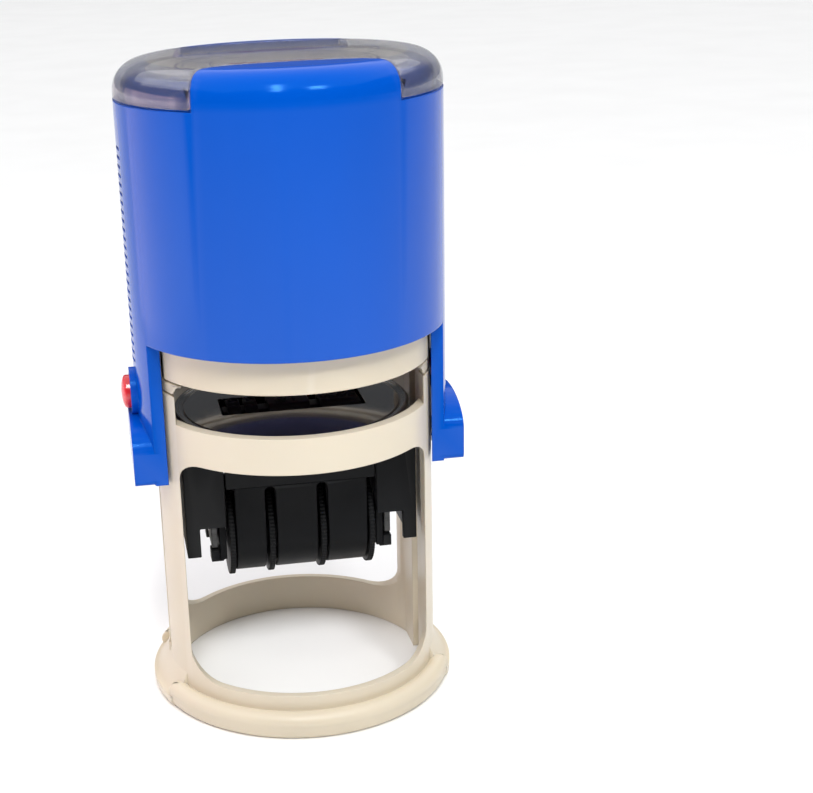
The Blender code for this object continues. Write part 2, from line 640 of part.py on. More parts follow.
def date_wheel(number, parts, cutters, collection):
    """Thumb wheel: a notched flange and the hub that drives its band."""
    spec = WHEELS[number - 1]
    flange = (spec["flange_x"] - WHEEL_FLANGE / 2, spec["flange_x"] + WHEEL_FLANGE / 2)
    rim = []
    for tooth in range(TEETH):
        for share, radius in ((0.0, WHEEL_R), (0.5, WHEEL_R), (0.75, WHEEL_R - 0.45)):
            angle = 2 * pi * (tooth + share) / TEETH
            rim.append((radius * cos(angle), WHEEL_Z + radius * sin(angle)))
    wheel = plate(f"date_wheel_{number}", parts, [rim], flange, "X")
    hub = rod("wheel_hub", parts, WHEEL_HUB_R, spec["hub"], z=WHEEL_Z, steps=32)
    boolean(wheel, hub, cutters, "UNION")
    boolean(wheel, rod("wheel_bore", parts, WHEEL_BORE_R, (-30, 30), z=WHEEL_Z, steps=16), cutters)
    marker = joint_marker(f"date_wheel_{number}_axis", collection, (spec["flange_x"], 0.0, WHEEL_Z))
    return finish(wheel, BLACK, marker)


def wheel_cover(parts, cutters, marker):
    """Curved guard over the front and underside of the wheels, slotted for the middle two."""
    inner_r = COVER_R - 1.1
    outline = [(-COVER_R, 45.0)] + arc((0.0, WHEEL_Z), COVER_R, 180, 300, 14)
    outline += arc((0.0, WHEEL_Z), inner_r, 300, 180, 14) + [(-inner_r, 45.0)]
    cover = plate("wheel_cover", parts, [outline], (-12.1, 12.1), "X")
    beam = box("cover_beam", parts, (-13.6, -COVER_R - 0.2, 41.2), (13.6, -inner_r, 45.0))
    boolean(cover, beam, cutters, "UNION")
    for number in (2, 3):
        x = WHEELS[number - 1]["flange_x"]
        boolean(cover, box("wheel_slot", parts, (x - 1.0, -20, 10), (x + 1.0, 20, 41.0)), cutters)
    return finish(cover, BLACK, marker)


def wheel_axle(parts, marker):
    axle = rod("wheel_axle", parts, WHEEL_AXLE_R, (-16.6, 16.6), z=WHEEL_Z, steps=16)
    return finish(axle, STEEL, marker)


def axle_clip(side, parts, cutters, marker):
    """Pressed clip on the outside of a bearing plate that keeps the wheel axle in."""
    name = "axle_clip_left" if side < 0 else "axle_clip_right"
    ends = sorted((side * 15.5, side * 16.6))
    outline = rounded_box((-7.2, 29.2), (7.2, 36.0), (0.6, 0.6, 0.6, 0.6), count=2)
    clip = plate(name, parts, [outline], ends, "X")
    boolean(clip, rod("clip_hole", parts, WHEEL_AXLE_R + GAP, (-30, 30), z=WHEEL_Z, steps=16), cutters)
    return finish(clip, STEEL, marker)


def flip_cam(side, parts, cutters, marker):
    """Notched hub beside the bearing plate, whose fins ride the frame's tracks and turn the carriage."""
    name = "flip_cam_left" if side < 0 else "flip_cam_right"
    ends = sorted((side * 15.5, side * 19.2))
    hub = rod(name, parts, 3.3, ends, y=-4.2, z=40.0, steps=20)
    fin_x = sorted((side * 17.6, side * 19.5))
    for z in (37.4, 41.2):
        fin = box("cam_fin", parts, (fin_x[0], -7.6, z), (fin_x[1], -1.2, z + 1.2))
        boolean(hub, fin, cutters, "UNION")
    return finish(hub, BLACK, marker)


# ---------------------------------------------------------------- assembly

def main():
    clear_scene()
    parts = new_collection("self_inking_date_stamp")
    cutters = new_collection("cutters")

    pad_axis = joint_marker("pad_slide_axis", parts, (0.0, 0.0, PAD_BOTTOM))
    left_lock = joint_marker("lock_left_axis", parts, (0.0, 0.0, BUTTON_Z))
    right_lock = joint_marker("lock_right_axis", parts, (0.0, 0.0, BUTTON_Z))
    carriage = joint_marker("carriage_axis", parts, (0.0, 0.0, AXLE_Z))

    base_frame(parts, cutters)
    pad_housing(parts, cutters)
    return_spring(parts)

    pad_cassette(parts, cutters, pad_axis)
    ink_pads(parts, cutters, pad_axis)

    cap_shell(parts, cutters)
    index_card(parts, cutters)
    top_cover(parts, cutters)
    lock_button("left", parts, left_lock)
    lock_button("right", parts, right_lock)

    die_plate(parts, cutters, carriage)
    carriage_frame(parts, cutters, carriage)
    band_bridge(parts, carriage)
    wheel_cover(parts, cutters, carriage)
    wheel_axle(parts, carriage)
    for side in (-1, 1):
        axle_pin(side, parts, carriage)
        axle_clip(side, parts, cutters, carriage)
        flip_cam(side, parts, cutters, carriage)
    for number in range(1, len(WHEELS) + 1):
        date_band(number, parts, carriage)
        date_wheel(number, parts, cutters, parts)


main()
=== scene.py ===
"""Looks of a round self-inking date stamp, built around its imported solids.

Lengths are in millimetres until a mesh is made. +X is to the right, -Y to the front and +Z up, and the
origin is the centre of the foot ring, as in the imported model. Every piece keeps the outline and the
clearances of the solid that it stands for, and adds its rounded edges, fine shapes and finish.
"""

import logging
from dataclasses import dataclass, field
from enum import Enum
from math import acos, atan2, cos, pi, radians, sin, sqrt
from typing import Sequence

import bmesh
import bpy
from mathutils import Matrix, Vector


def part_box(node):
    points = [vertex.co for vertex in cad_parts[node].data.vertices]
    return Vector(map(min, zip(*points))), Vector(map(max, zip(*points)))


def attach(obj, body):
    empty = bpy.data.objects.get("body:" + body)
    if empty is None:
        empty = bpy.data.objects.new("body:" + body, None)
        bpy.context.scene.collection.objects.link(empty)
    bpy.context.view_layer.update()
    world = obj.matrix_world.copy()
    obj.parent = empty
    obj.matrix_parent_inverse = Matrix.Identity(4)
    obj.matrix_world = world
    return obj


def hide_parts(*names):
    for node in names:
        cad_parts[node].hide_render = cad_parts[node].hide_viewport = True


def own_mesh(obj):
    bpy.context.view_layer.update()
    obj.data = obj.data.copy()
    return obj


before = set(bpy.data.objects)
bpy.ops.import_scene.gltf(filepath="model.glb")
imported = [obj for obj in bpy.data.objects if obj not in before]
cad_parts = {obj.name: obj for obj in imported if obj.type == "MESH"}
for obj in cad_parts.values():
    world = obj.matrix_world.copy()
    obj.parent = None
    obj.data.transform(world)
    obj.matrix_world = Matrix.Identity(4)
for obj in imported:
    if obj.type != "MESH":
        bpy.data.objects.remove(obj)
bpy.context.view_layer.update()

MM = 0.001          # one millimetre in metres
GAP = 0.3           # clearance between two pieces
FAR = 40.0          # reach of a cutter past the sides of the object
MERGE = 0.000002    # points nearer than this are one point, in metres
UNIT = (0.0, 1.0)   # the range of a share
EDGE_RADIUS = 0.3   # rounding of the edges in the shading
EDGE_SAMPLES = 6
FINE = 144          # facets around a large ring
MEDIUM = 48         # facets around a button or a hub
SMALL = 24          # facets around a pin

Pair = tuple[float, float]
Triple = tuple[float, float, float]
Solid = bpy.types.Object
Socket = bpy.types.NodeSocket

log = logging.getLogger("date_stamp")


class Axis(Enum):
    """Direction in which an outline is drawn out."""

    X = "X"
    Y = "Y"
    Z = "Z"

    def point(self, u: float, v: float, along: float) -> Vector:
        """Place of an outline's point (u, v), in metres."""
        if self is Axis.X:
            return Vector((along, u, v)) * MM
        if self is Axis.Y:
            return Vector((u, along, v)) * MM
        return Vector((u, v, along)) * MM


class Join(Enum):
    """How one solid works on another."""

    CUT = "DIFFERENCE"
    ADD = "UNION"
    KEEP = "INTERSECT"


class Side(Enum):
    """The two ends of the carriage's axle."""

    LEFT = -1
    RIGHT = 1


@dataclass(frozen=True)
class Envelope:
    """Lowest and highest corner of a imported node, in millimetres."""

    low: Vector
    high: Vector

    @classmethod
    def of(cls, node: str) -> "Envelope":
        """Read a node's box from the frame."""
        low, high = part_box(node)
        return cls(low / MM, high / MM)


def box_of(node: str) -> Envelope:
    """Dataclass field that holds a node's box."""
    return field(default_factory=lambda: Envelope.of(node))


# ---------------------------------------------------------------- outlines

def arc(centre: Pair, radius: float, start: float, end: float, count: int = 8) -> list[Pair]:
    """Points along an arc.

    Args:
        centre: Centre of the arc.
        radius: Its radius.
        start: First angle, in degrees.
        end: Last angle, in degrees.
        count: Number of steps.

    Returns:
        The points, both ends included.
    """
    angles = [radians(start + (end - start) * i / count) for i in range(count + 1)]
    return [(centre[0] + radius * cos(a), centre[1] + radius * sin(a)) for a in angles]


def rounded_box(low: Pair, high: Pair, radii: Sequence[float], count: int = 8) -> list[Pair]:
    """Rectangle with its own radius at each corner.

    Args:
        low: Lower left corner.
        high: Upper right corner.
        radii: Four radii, from the lower left corner round.
        count: Steps in each corner.

    Returns:
        The outline's points.
    """
    corners = (
        ((low[0], low[1]), (1, 1), 180.0),
        ((high[0], low[1]), (-1, 1), 270.0),
        ((high[0], high[1]), (-1, -1), 0.0),
        ((low[0], high[1]), (1, -1), 90.0),
    )
    points: list[Pair] = []
    for (corner, inward, start), radius in zip(corners, radii):
        if radius <= 0:
            points.append(corner)
            continue
        centre = (corner[0] + inward[0] * radius, corner[1] + inward[1] * radius)
        points += arc(centre, radius, start, start + 90.0, count)
    return points


# ---------------------------------------------------------------- modelling

class Bench:
    """The modelling steps that every piece shares, done with Blender's own operators."""

    @staticmethod
    def clear() -> None:
        """Leave edit mode and deselect everything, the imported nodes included."""
        if bpy.context.object and bpy.context.object.mode != "OBJECT":
            bpy.ops.object.mode_set(mode="OBJECT")
        bpy.ops.object.select_all(action="DESELECT")

    @staticmethod
    def only(obj: Solid) -> None:
        """Select one object and make it the active one."""
        Bench.clear()
        obj.select_set(True)
        bpy.context.view_layer.objects.active = obj

    @staticmethod
    def edit(obj: Solid) -> None:
        """Open one object in edit mode with everything selected."""
        Bench.only(obj)
        bpy.ops.object.mode_set(mode="EDIT")
        bpy.ops.mesh.select_mode(type="VERT")
        bpy.ops.mesh.select_all(action="SELECT")

    @staticmethod
    def close() -> None:
        """Merge doubles, turn the faces outwards and leave edit mode."""
        bpy.ops.mesh.select_all(action="SELECT")
        bpy.ops.mesh.remove_doubles(threshold=MERGE)
        bpy.ops.mesh.normals_make_consistent(inside=False)
        bpy.ops.object.mode_set(mode="OBJECT")

    @staticmethod
    def settle(obj: Solid) -> Solid:
        """Move an object's place and turn into its mesh."""
        Bench.only(obj)
        bpy.ops.object.transform_apply(location=True, rotation=True, scale=True)
        return obj

    @staticmethod
    def wire(name: str, points: Sequence[Vector]) -> Solid:
        """Draw a line of edges, one extrusion for each point.

        Args:
            name: Name of the object.
            points: The line's points, in metres.

        Returns:
            The object, open in edit mode with the line selected.
        """
        Bench.clear()
        bpy.ops.mesh.primitive_plane_add(size=MM)
        obj = bpy.context.object
        obj.name = name
        Bench.edit(obj)
        bpy.ops.mesh.merge(type="CENTER")
        bpy.ops.transform.translate(value=points[0])
        for before, after in zip(points, points[1:]):
            bpy.ops.mesh.extrude_vertices_move(TRANSFORM_OT_translate={"value": after - before})
        bpy.ops.mesh.select_all(action="SELECT")
        return obj

    @staticmethod
    def lathe(name: str, profile: Sequence[Pair], steps: int = FINE, closed: bool = False) -> Solid:
        """Turn a profile about the upright axis.

        Args:
            name: Name of the object.
            profile: Points as (radius, height).
            steps: Facets around.
            closed: Whether the last point joins the first, away from the axis.

        Returns:
            The turned solid.
        """
        ring = list(profile) + ([profile[0]] if closed else [])
        obj = Bench.wire(name, [Vector((r, 0.0, z)) * MM for r, z in ring])
        bpy.ops.mesh.spin(steps=steps, angle=2 * pi, center=(0, 0, 0), axis=(0, 0, 1))
        Bench.close()
        return obj

    @staticmethod
    def slab(name: str, outline: Sequence[Pair], ends: Pair, axis: Axis) -> Solid:
        """Draw out a flat outline between two ends along an axis.

        Args:
            name: Name of the object.
            outline: Points as (y, z) for X, (x, z) for Y and (x, y) for Z.
            ends: Where the solid starts and stops along the axis.
            axis: Direction of the extrusion.

        Returns:
            The solid.
        """
        low, high = sorted(ends)
        points = [axis.point(u, v, low) for u, v in outline]
        obj = Bench.wire(name, points + [points[0]])
        bpy.ops.mesh.remove_doubles(threshold=MERGE)
        bpy.ops.mesh.edge_face_add()
        bpy.ops.mesh.extrude_region_move(TRANSFORM_OT_translate={"value": axis.point(0.0, 0.0, high - low)})
        Bench.close()
        return obj

    @staticmethod
    def block(name: str, low: Triple, high: Triple) -> Solid:
        """Rectangular cutter or core between two corners."""
        outline = [(low[0], low[1]), (high[0], low[1]), (high[0], high[1]), (low[0], high[1])]
        return Bench.slab(name, outline, (low[2], high[2]), Axis.Z)

    @staticmethod
    def disc(name: str, radius: float, low: float, high: float) -> Solid:
        """Solid round about the upright axis."""
        return Bench.lathe(name, [(0.0, high), (radius, high), (radius, low), (0.0, low)])

    @staticmethod
    def tube(name: str, radii: Pair, low: float, high: float) -> Solid:
        """Ring about the upright axis, between its inner and outer radius."""
        inner, outer = radii
        ring = [(outer, high), (outer, low), (inner, low), (inner, high)]
        return Bench.lathe(name, ring, MEDIUM, closed=True)

    @staticmethod
    def rod(name: str, radius: float, ends: Pair, centre: Pair = (0.0, 0.0), steps: int = SMALL) -> Solid:
        """Cylinder along X.

        Args:
            name: Name of the object.
            radius: Its radius.
            ends: Its two ends along X.
            centre: Its axis as (y, z).
            steps: Facets around.

        Returns:
            The cylinder.
        """
        Bench.clear()
        middle = Axis.X.point(centre[0], centre[1], sum(ends) / 2)
        length = abs(ends[1] - ends[0]) * MM
        bpy.ops.mesh.primitive_cylinder_add(vertices=steps, radius=radius * MM, depth=length,
                                            location=middle, rotation=(0.0, pi / 2, 0.0))
        bpy.context.object.name = name
        return Bench.settle(bpy.context.object)

    @staticmethod
    def work(obj: Solid, tool: Solid, how: Join = Join.CUT) -> Solid:
        """Cut, join or trim a solid with another, which is used up.

        Args:
            obj: The solid that is kept.
            tool: The solid that works on it.
            how: What the tool does.

        Returns:
            The solid that is kept.
        """
        Bench.only(obj)
        step = obj.modifiers.new(how.name.lower(), "BOOLEAN")
        step.operation = how.value
        step.solver = "EXACT"
        step.object = tool
        bpy.ops.object.modifier_apply(modifier=step.name)
        bpy.data.objects.remove(tool, do_unlink=True)
        Bench.edit(obj)
        bpy.ops.mesh.remove_doubles(threshold=MERGE)
        bpy.ops.object.mode_set(mode="OBJECT")
        return obj

    @staticmethod
    def trim(obj: Solid, low: Triple, high: Triple) -> Solid:
        """Keep what lies between two corners."""
        return Bench.work(obj, Bench.block("trim", low, high), Join.KEEP)

    @staticmethod
    def notch(obj: Solid, low: Triple, high: Triple) -> Solid:
        """Cut away what lies between two corners."""
        return Bench.work(obj, Bench.block("notch", low, high))

    @staticmethod
    def join(parts: Sequence[Solid]) -> Solid:
        """Join objects into the first one, as separate shells."""
        Bench.clear()
        for part in parts:
            part.select_set(True)
        bpy.context.view_layer.objects.active = parts[0]
        bpy.ops.object.join()
        return parts[0]

    @staticmethod
    def round(obj: Solid, width: float, segments: int = 2, angle: float = 38.0) -> Solid:
        """Round the sharp edges of a solid.

        Args:
            obj: The solid.
            width: Width of the rounding, in millimetres.
            segments: Facets across the rounding.
            angle: Edges sharper than this are rounded, in degrees.

        Returns:
            The same solid.
        """
        Bench.only(obj)
        edge = obj.modifiers.new("edge", "BEVEL")
        edge.width = width * MM
        edge.segments = segments
        edge.limit_method = "ANGLE"
        edge.angle_limit = radians(angle)
        edge.use_clamp_overlap = False
        bpy.ops.object.modifier_apply(modifier=edge.name)
        return obj

    @staticmethod
    def smooth(obj: Solid, angle: float = 30.0) -> Solid:
        """Smooth the curved faces, after cutting the many-sided ones into even triangles."""
        Bench.edit(obj)
        bpy.ops.mesh.quads_convert_to_tris(quad_method="BEAUTY", ngon_method="BEAUTY")
        Bench.close()
        bpy.ops.object.shade_smooth_by_angle(angle=radians(angle))
        return obj

    @staticmethod
    def shade(obj: Solid, angle: float = 38.0) -> Solid:
        """Smooth the curved faces and weight the normals towards the large ones."""
        Bench.only(obj)
        bpy.ops.object.shade_smooth_by_angle(angle=radians(angle))
        weight = obj.modifiers.new("weight", "WEIGHTED_NORMAL")
        weight.keep_sharp = True
        bpy.ops.object.modifier_apply(modifier=weight.name)
        return obj

    @staticmethod
    def soften(obj: Solid, width: float, segments: int = 2, angle: float = 38.0) -> Solid:
        """Round the sharp edges and then shade the solid."""
        return Bench.shade(Bench.round(obj, width, segments, angle), angle)

    @staticmethod
    def copy_of(node: str, name: str) -> Solid:
        """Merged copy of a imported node, flat faces whole again.

        Args:
            node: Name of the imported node.
            name: Name of the copy.

        Returns:
            The copy, free of its body.
        """
        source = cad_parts[node]
        obj = bpy.data.objects.new(name, source.data.copy())
        bpy.context.scene.collection.objects.link(obj)
        obj.data.materials.clear()
        Bench.edit(obj)
        bpy.ops.mesh.customdata_custom_splitnormals_clear()
        bpy.ops.mesh.remove_doubles(threshold=MERGE)
        bpy.ops.mesh.dissolve_limited(angle_limit=radians(1.0))
        Bench.close()
        return obj


# ---------------------------------------------------------------- finishes

def shade(colour: Triple, share: float) -> Triple:
    """A colour made lighter or darker."""
    return tuple(min(1.0, channel * share) for channel in colour)


class Graph:
    """A material's node tree, with short calls for its common steps."""

    def __init__(self, name: str) -> None:
        """Start a material with one Principled shader."""
        self.material = bpy.data.materials.new(name)
        self.material.use_nodes = True
        self.nodes = self.material.node_tree.nodes
        self.links = self.material.node_tree.links
        self.shader = self.nodes["Principled BSDF"]
        self.place = self.nodes.new("ShaderNodeTexCoord").outputs["Object"]

    def link(self, source: Socket, target: Socket) -> None:
        """Join two sockets."""
        self.links.new(source, target)

    def feed(self, source: Socket, name: str) -> None:
        """Join a socket to one of the shader's inputs."""
        self.link(source, self.shader.inputs[name])

    def set(self, values: dict[str, float | tuple[float, ...]]) -> None:
        """Give the shader's inputs plain values, by their names."""
        for name, value in values.items():
            self.shader.inputs[name].default_value = value

    def stretched(self, scale: Triple) -> Socket:
        """Object coordinates with their own scale along each axis."""
        mapping = self.nodes.new("ShaderNodeMapping")
        mapping.inputs["Scale"].default_value = scale
        self.link(self.place, mapping.inputs["Vector"])
        return mapping.outputs["Vector"]

    def noise(self, size: float, detail: float = 3.0, vector: Socket | None = None,
              roughness: float = 0.55) -> Socket:
        """Noise whose features are about the given size.

        Args:
            size: Feature size, in millimetres.
            detail: Octaves.
            vector: Coordinates, or None for Object coordinates.
            roughness: Strength of the finer octaves.

        Returns:
            The noise's factor.
        """
        node = self.nodes.new("ShaderNodeTexNoise")
        node.inputs["Scale"].default_value = 1.0 / (size * MM)
        node.inputs["Detail"].default_value = detail
        node.inputs["Roughness"].default_value = roughness
        self.link(vector or self.place, node.inputs["Vector"])
        return node.outputs["Fac"]

    def span(self, value: Socket, source: Pair, target: Pair) -> Socket:
        """Map a value from one range to another, held at the ends."""
        node = self.nodes.new("ShaderNodeMapRange")
        for index, number in enumerate((*source, *target), start=1):
            node.inputs[index].default_value = number
        self.link(value, node.inputs["Value"])
        return node.outputs["Result"]

    def math(self, kind: str, first: Socket, second: Socket | float) -> Socket:
        """One arithmetic step."""
        node = self.nodes.new("ShaderNodeMath")
        node.operation = kind
        self.link(first, node.inputs[0])
        if isinstance(second, (int, float)):
            node.inputs[1].default_value = second
        else:
            self.link(second, node.inputs[1])
        return node.outputs["Value"]

    def mix(self, share: Socket, first: Socket | Triple,
            second: Socket | Triple) -> Socket:
        """Mix two colours by a share."""
        node = self.nodes.new("ShaderNodeMix")
        node.data_type = "RGBA"
        self.link(share, node.inputs["Factor"])
        for value, name in ((first, "A"), (second, "B")):
            socket = next(s for s in node.inputs if s.name == name and s.type == "RGBA")
            if isinstance(value, tuple):
                socket.default_value = (*value, 1.0)
            else:
                self.link(value, socket)
        return next(s for s in node.outputs if s.type == "RGBA")

    def mottle(self, noise: Socket, ends: Pair, colour: Triple, dark: float, light: float) -> Socket:
        """A colour that drifts between a darker and a lighter shade of itself.

        Args:
            noise: The noise that it follows.
            ends: Where the noise gives the darker and the lighter shade.
            colour: The middle colour.
            dark: Share of the darker shade.
            light: Share of the lighter shade.

        Returns:
            The mottled colour.
        """
        return self.mix(self.span(noise, ends, UNIT), shade(colour, dark), shade(colour, light))

    def bump(self, height: Socket, strength: float, depth: float) -> None:
        """Raise the surface by a height, the depth in millimetres, over softly rounded edges."""
        rounding = self.nodes.new("ShaderNodeBevel")
        rounding.samples = EDGE_SAMPLES
        rounding.inputs["Radius"].default_value = EDGE_RADIUS * MM
        node = self.nodes.new("ShaderNodeBump")
        self.link(rounding.outputs["Normal"], node.inputs["Normal"])
        node.inputs["Strength"].default_value = strength
        node.inputs["Distance"].default_value = depth * MM
        self.link(height, node.inputs["Height"])
        self.feed(node.outputs["Normal"], "Normal")

    def edges(self) -> Socket:
        """Share that is high on the convex edges, where handling polishes and pales them."""
        geometry = self.nodes.new("ShaderNodeNewGeometry")
        return self.span(geometry.outputs["Pointiness"], (0.52, 0.62), UNIT)

    def radius(self) -> Socket:
        """Distance from the upright axis, in metres."""
        flat = self.stretched((1.0, 1.0, 0.0))
        node = self.nodes.new("ShaderNodeVectorMath")
        node.operation = "LENGTH"
        self.link(flat, node.inputs[0])
        return node.outputs["Value"]


@dataclass(frozen=True)
class Finish:
    """What every finish has: a name, a colour and a gloss."""

    name: str
    colour: Triple
    roughness: float

    def material(self) -> bpy.types.Material:
        """The finish's material, made once."""
        return bpy.data.materials.get(self.name) or self.make(Graph(self.name))

    def make(self, graph: Graph) -> bpy.types.Material:
        """Fill the node tree."""
        raise NotImplementedError


@dataclass(frozen=True)
class Moulded(Finish):
    """Injection-moulded plastic: faint flow marks, fine texture, scuffs and paler edges."""

    drift: float = 0.05
    texture: float = 0.35
    relief: float = 0.012
    coat: float = 0.0
    wear: float = 0.25
    under: float = 0.0
    specular: float = 0.5
    tint: Triple = (1.0, 1.0, 1.0)

    def make(self, graph: Graph) -> bpy.types.Material:
        """Fill the node tree."""
        flow = graph.noise(22.0, 2.0, graph.stretched((1.0, 1.0, 0.35)))
        body = graph.mottle(flow, (0.3, 0.7), self.colour, 1 - self.drift, 1 + self.drift)
        worn = graph.math("MULTIPLY", graph.edges(), self.wear)
        pale = tuple(c + (1 - c) * 0.45 for c in self.colour)
        graph.feed(graph.mix(worn, body, pale), "Base Color")

        fine = graph.noise(self.texture, 2.0)
        marks = graph.noise(1.6, 6.0, graph.stretched((1.0, 1.0, 0.12)), 0.7)
        scuffs = graph.span(marks, (0.58, 0.74), UNIT)
        glossy, dull = self.roughness * 0.88, self.roughness * 1.15
        gloss = graph.span(graph.noise(9.0, 4.0), (0.35, 0.65), (glossy, dull))
        graph.feed(graph.math("ADD", gloss, graph.math("MULTIPLY", scuffs, 0.06)), "Roughness")
        graph.bump(graph.math("SUBTRACT", fine, graph.math("MULTIPLY", scuffs, 0.3)), 0.35, self.relief)
        graph.set({
            "Coat Weight": self.coat,
            "Coat Roughness": 0.05,
            "IOR": 1.5,
            "Specular IOR Level": self.specular,
            "Specular Tint": (*self.tint, 1.0),
            "Subsurface Weight": self.under,
            "Subsurface Radius": (0.003, 0.002, 0.0012),
            "Subsurface Scale": 0.4,
        })
        return graph.material


@dataclass(frozen=True)
class SmokedClear(Finish):
    """Tinted clear plastic with hairline scratches."""

    def make(self, graph: Graph) -> bpy.types.Material:
        """Fill the node tree."""
        cloud = graph.noise(15.0, 2.0)
        graph.feed(graph.mottle(cloud, (0.3, 0.7), self.colour, 0.94, 1.04), "Base Color")
        hairs = graph.noise(0.9, 5.0, graph.stretched((0.12, 1.0, 1.0)), 0.7)
        scratched = graph.span(hairs, (0.6, 0.72), (self.roughness, self.roughness + 0.16))
        graph.feed(scratched, "Roughness")
        graph.bump(hairs, 0.12, 0.006)
        graph.set({"Transmission Weight": 0.9, "Alpha": 0.62, "IOR": 1.5})
        return graph.material


@dataclass(frozen=True)
class Metal(Finish):
    """Zinc-plated wire and sheet: drawn lines and a mottled plating."""

    def make(self, graph: Graph) -> bpy.types.Material:
        """Fill the node tree."""
        plating = graph.noise(1.4, 4.0)
        graph.feed(graph.mottle(plating, (0.35, 0.65), self.colour, 0.82, 1.12), "Base Color")
        drawn = graph.noise(0.25, 4.0, graph.stretched((0.06, 1.0, 1.0)))
        graph.feed(graph.span(drawn, (0.3, 0.7), (self.roughness * 0.8, self.roughness * 1.4)), "Roughness")
        graph.bump(drawn, 0.2, 0.01)
        graph.set({"Metallic": 1.0})
        return graph.material


@dataclass(frozen=True)
class Felt(Finish):
    """Inked felt: tangled fibres, darker where the ink has pooled."""

    def make(self, graph: Graph) -> bpy.types.Material:
        """Fill the node tree."""
        fibres = graph.noise(0.35, 6.0, roughness=0.75)
        pools = graph.span(graph.noise(7.0, 3.0), (0.35, 0.68), UNIT)
        wet = graph.mix(pools, shade(self.colour, 1.25), shade(self.colour, 0.55))
        tips = graph.span(fibres, (0.45, 0.75), (0.0, 0.5))
        graph.feed(graph.mix(tips, wet, shade(self.colour, 1.9)), "Base Color")
        graph.feed(graph.span(pools, (0.0, 1.0), (self.roughness, self.roughness * 0.6)), "Roughness")
        graph.bump(fibres, 0.9, 0.12)
        graph.set({"Sheen Weight": 0.3, "Sheen Roughness": 0.5})
        return graph.material


@dataclass(frozen=True)
class PrintedCard(Finish):
    """Pale card with two printed rings and a plain bar between them."""

    ink: Triple = (0.05, 0.06, 0.28)
    bar_ink: Triple = (0.5, 0.05, 0.04)
    rings: tuple[Pair, ...] = ((17.0, 17.5), (15.9, 16.2), (11.2, 11.5))
    bar: Pair = (8.0, 1.1)

    def make(self, graph: Graph) -> bpy.types.Material:
        """Fill the node tree."""
        fibres = graph.noise(0.6, 5.0, roughness=0.7)
        surface = graph.mottle(fibres, (0.35, 0.65), self.colour, 0.94, 1.05)
        distance = graph.radius()
        for low, high in self.rings:
            inside = graph.math("GREATER_THAN", distance, low * MM)
            outside = graph.math("LESS_THAN", distance, high * MM)
            surface = graph.mix(graph.math("MULTIPLY", inside, outside), surface, self.ink)
        split = graph.nodes.new("ShaderNodeSeparateXYZ")
        graph.link(graph.place, split.inputs["Vector"])
        shares = [graph.math("LESS_THAN", graph.math("ABSOLUTE", split.outputs[name], 0.0), half * MM)
                  for name, half in zip("XY", self.bar)]
        surface = graph.mix(graph.math("MULTIPLY", shares[0], shares[1]), surface, self.bar_ink)
        graph.feed(surface, "Base Color")
        graph.feed(graph.span(fibres, (0.3, 0.7), (self.roughness, 0.85)), "Roughness")
        graph.bump(fibres, 0.3, 0.03)
        return graph.material


IVORY = Moulded("ivory_plastic", (0.68, 0.60, 0.465), 0.34, drift=0.03, relief=0.010, under=0.1,
                specular=0.4)
BLUE = Moulded("blue_plastic", (0.0, 0.076, 0.49), 0.13, drift=0.03, relief=0.004, wear=0.06,
               specular=0.25, tint=(0.12, 0.5, 1.0))
BLACK = Moulded("black_plastic", (0.004, 0.0045, 0.0055), 0.42, drift=0.1, relief=0.014, wear=0.03,
                specular=0.1)
GLOSS_BLACK = Moulded("gloss_black_plastic", (0.008, 0.008, 0.010), 0.12, relief=0.003, coat=1.0,
                      wear=0.03, specular=1.0)
RED = Moulded("red_plastic", (0.72, 0.018, 0.03), 0.2, relief=0.005, coat=0.3, wear=0.15)
RUBBER = Moulded("black_rubber", (0.009, 0.0095, 0.011), 0.62, drift=0.15, texture=0.25, relief=0.03,
                 wear=0.06, specular=0.2)
SMOKE = SmokedClear("smoked_clear_plastic", (0.46, 0.44, 0.44), 0.035)
STEEL = Metal("zinc_steel", (0.58, 0.59, 0.60), 0.3)
# Painted shade: steel darkened to near black, partly a duller plating and partly the shade that falls on
# the axle clips.
DULL_AND_SHADED_STEEL = Metal("dull_steel_with_painted_shade", (0.09, 0.09, 0.09), 0.5)
TEXT_FELT = Felt("text_felt", (0.05, 0.06, 0.28), 0.9)
DATE_FELT = Felt("date_felt", (0.48, 0.03, 0.04), 0.9)
CARD = PrintedCard("index_card", (0.82, 0.80, 0.75), 0.6)


class Assembly:
    """A group of pieces that are built, dressed and reported together."""

    body = "frame"

    def dress(self, piece: Solid, finish: Finish, slot: str, *nodes: str, body: str = "") -> None:
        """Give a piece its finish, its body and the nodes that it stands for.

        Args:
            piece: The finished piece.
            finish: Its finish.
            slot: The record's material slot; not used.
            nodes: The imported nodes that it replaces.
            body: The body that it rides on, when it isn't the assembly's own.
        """
        piece.data.materials.clear()
        piece.data.materials.append(finish.material())
        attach(piece, body or self.body)
        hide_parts(*nodes)
        log.info("%s: %d faces, rides on %s", piece.name, len(piece.data.polygons), body or self.body)

    def build(self) -> None:
        """Model and dress every piece."""
        raise NotImplementedError


# ---------------------------------------------------------------- base frame

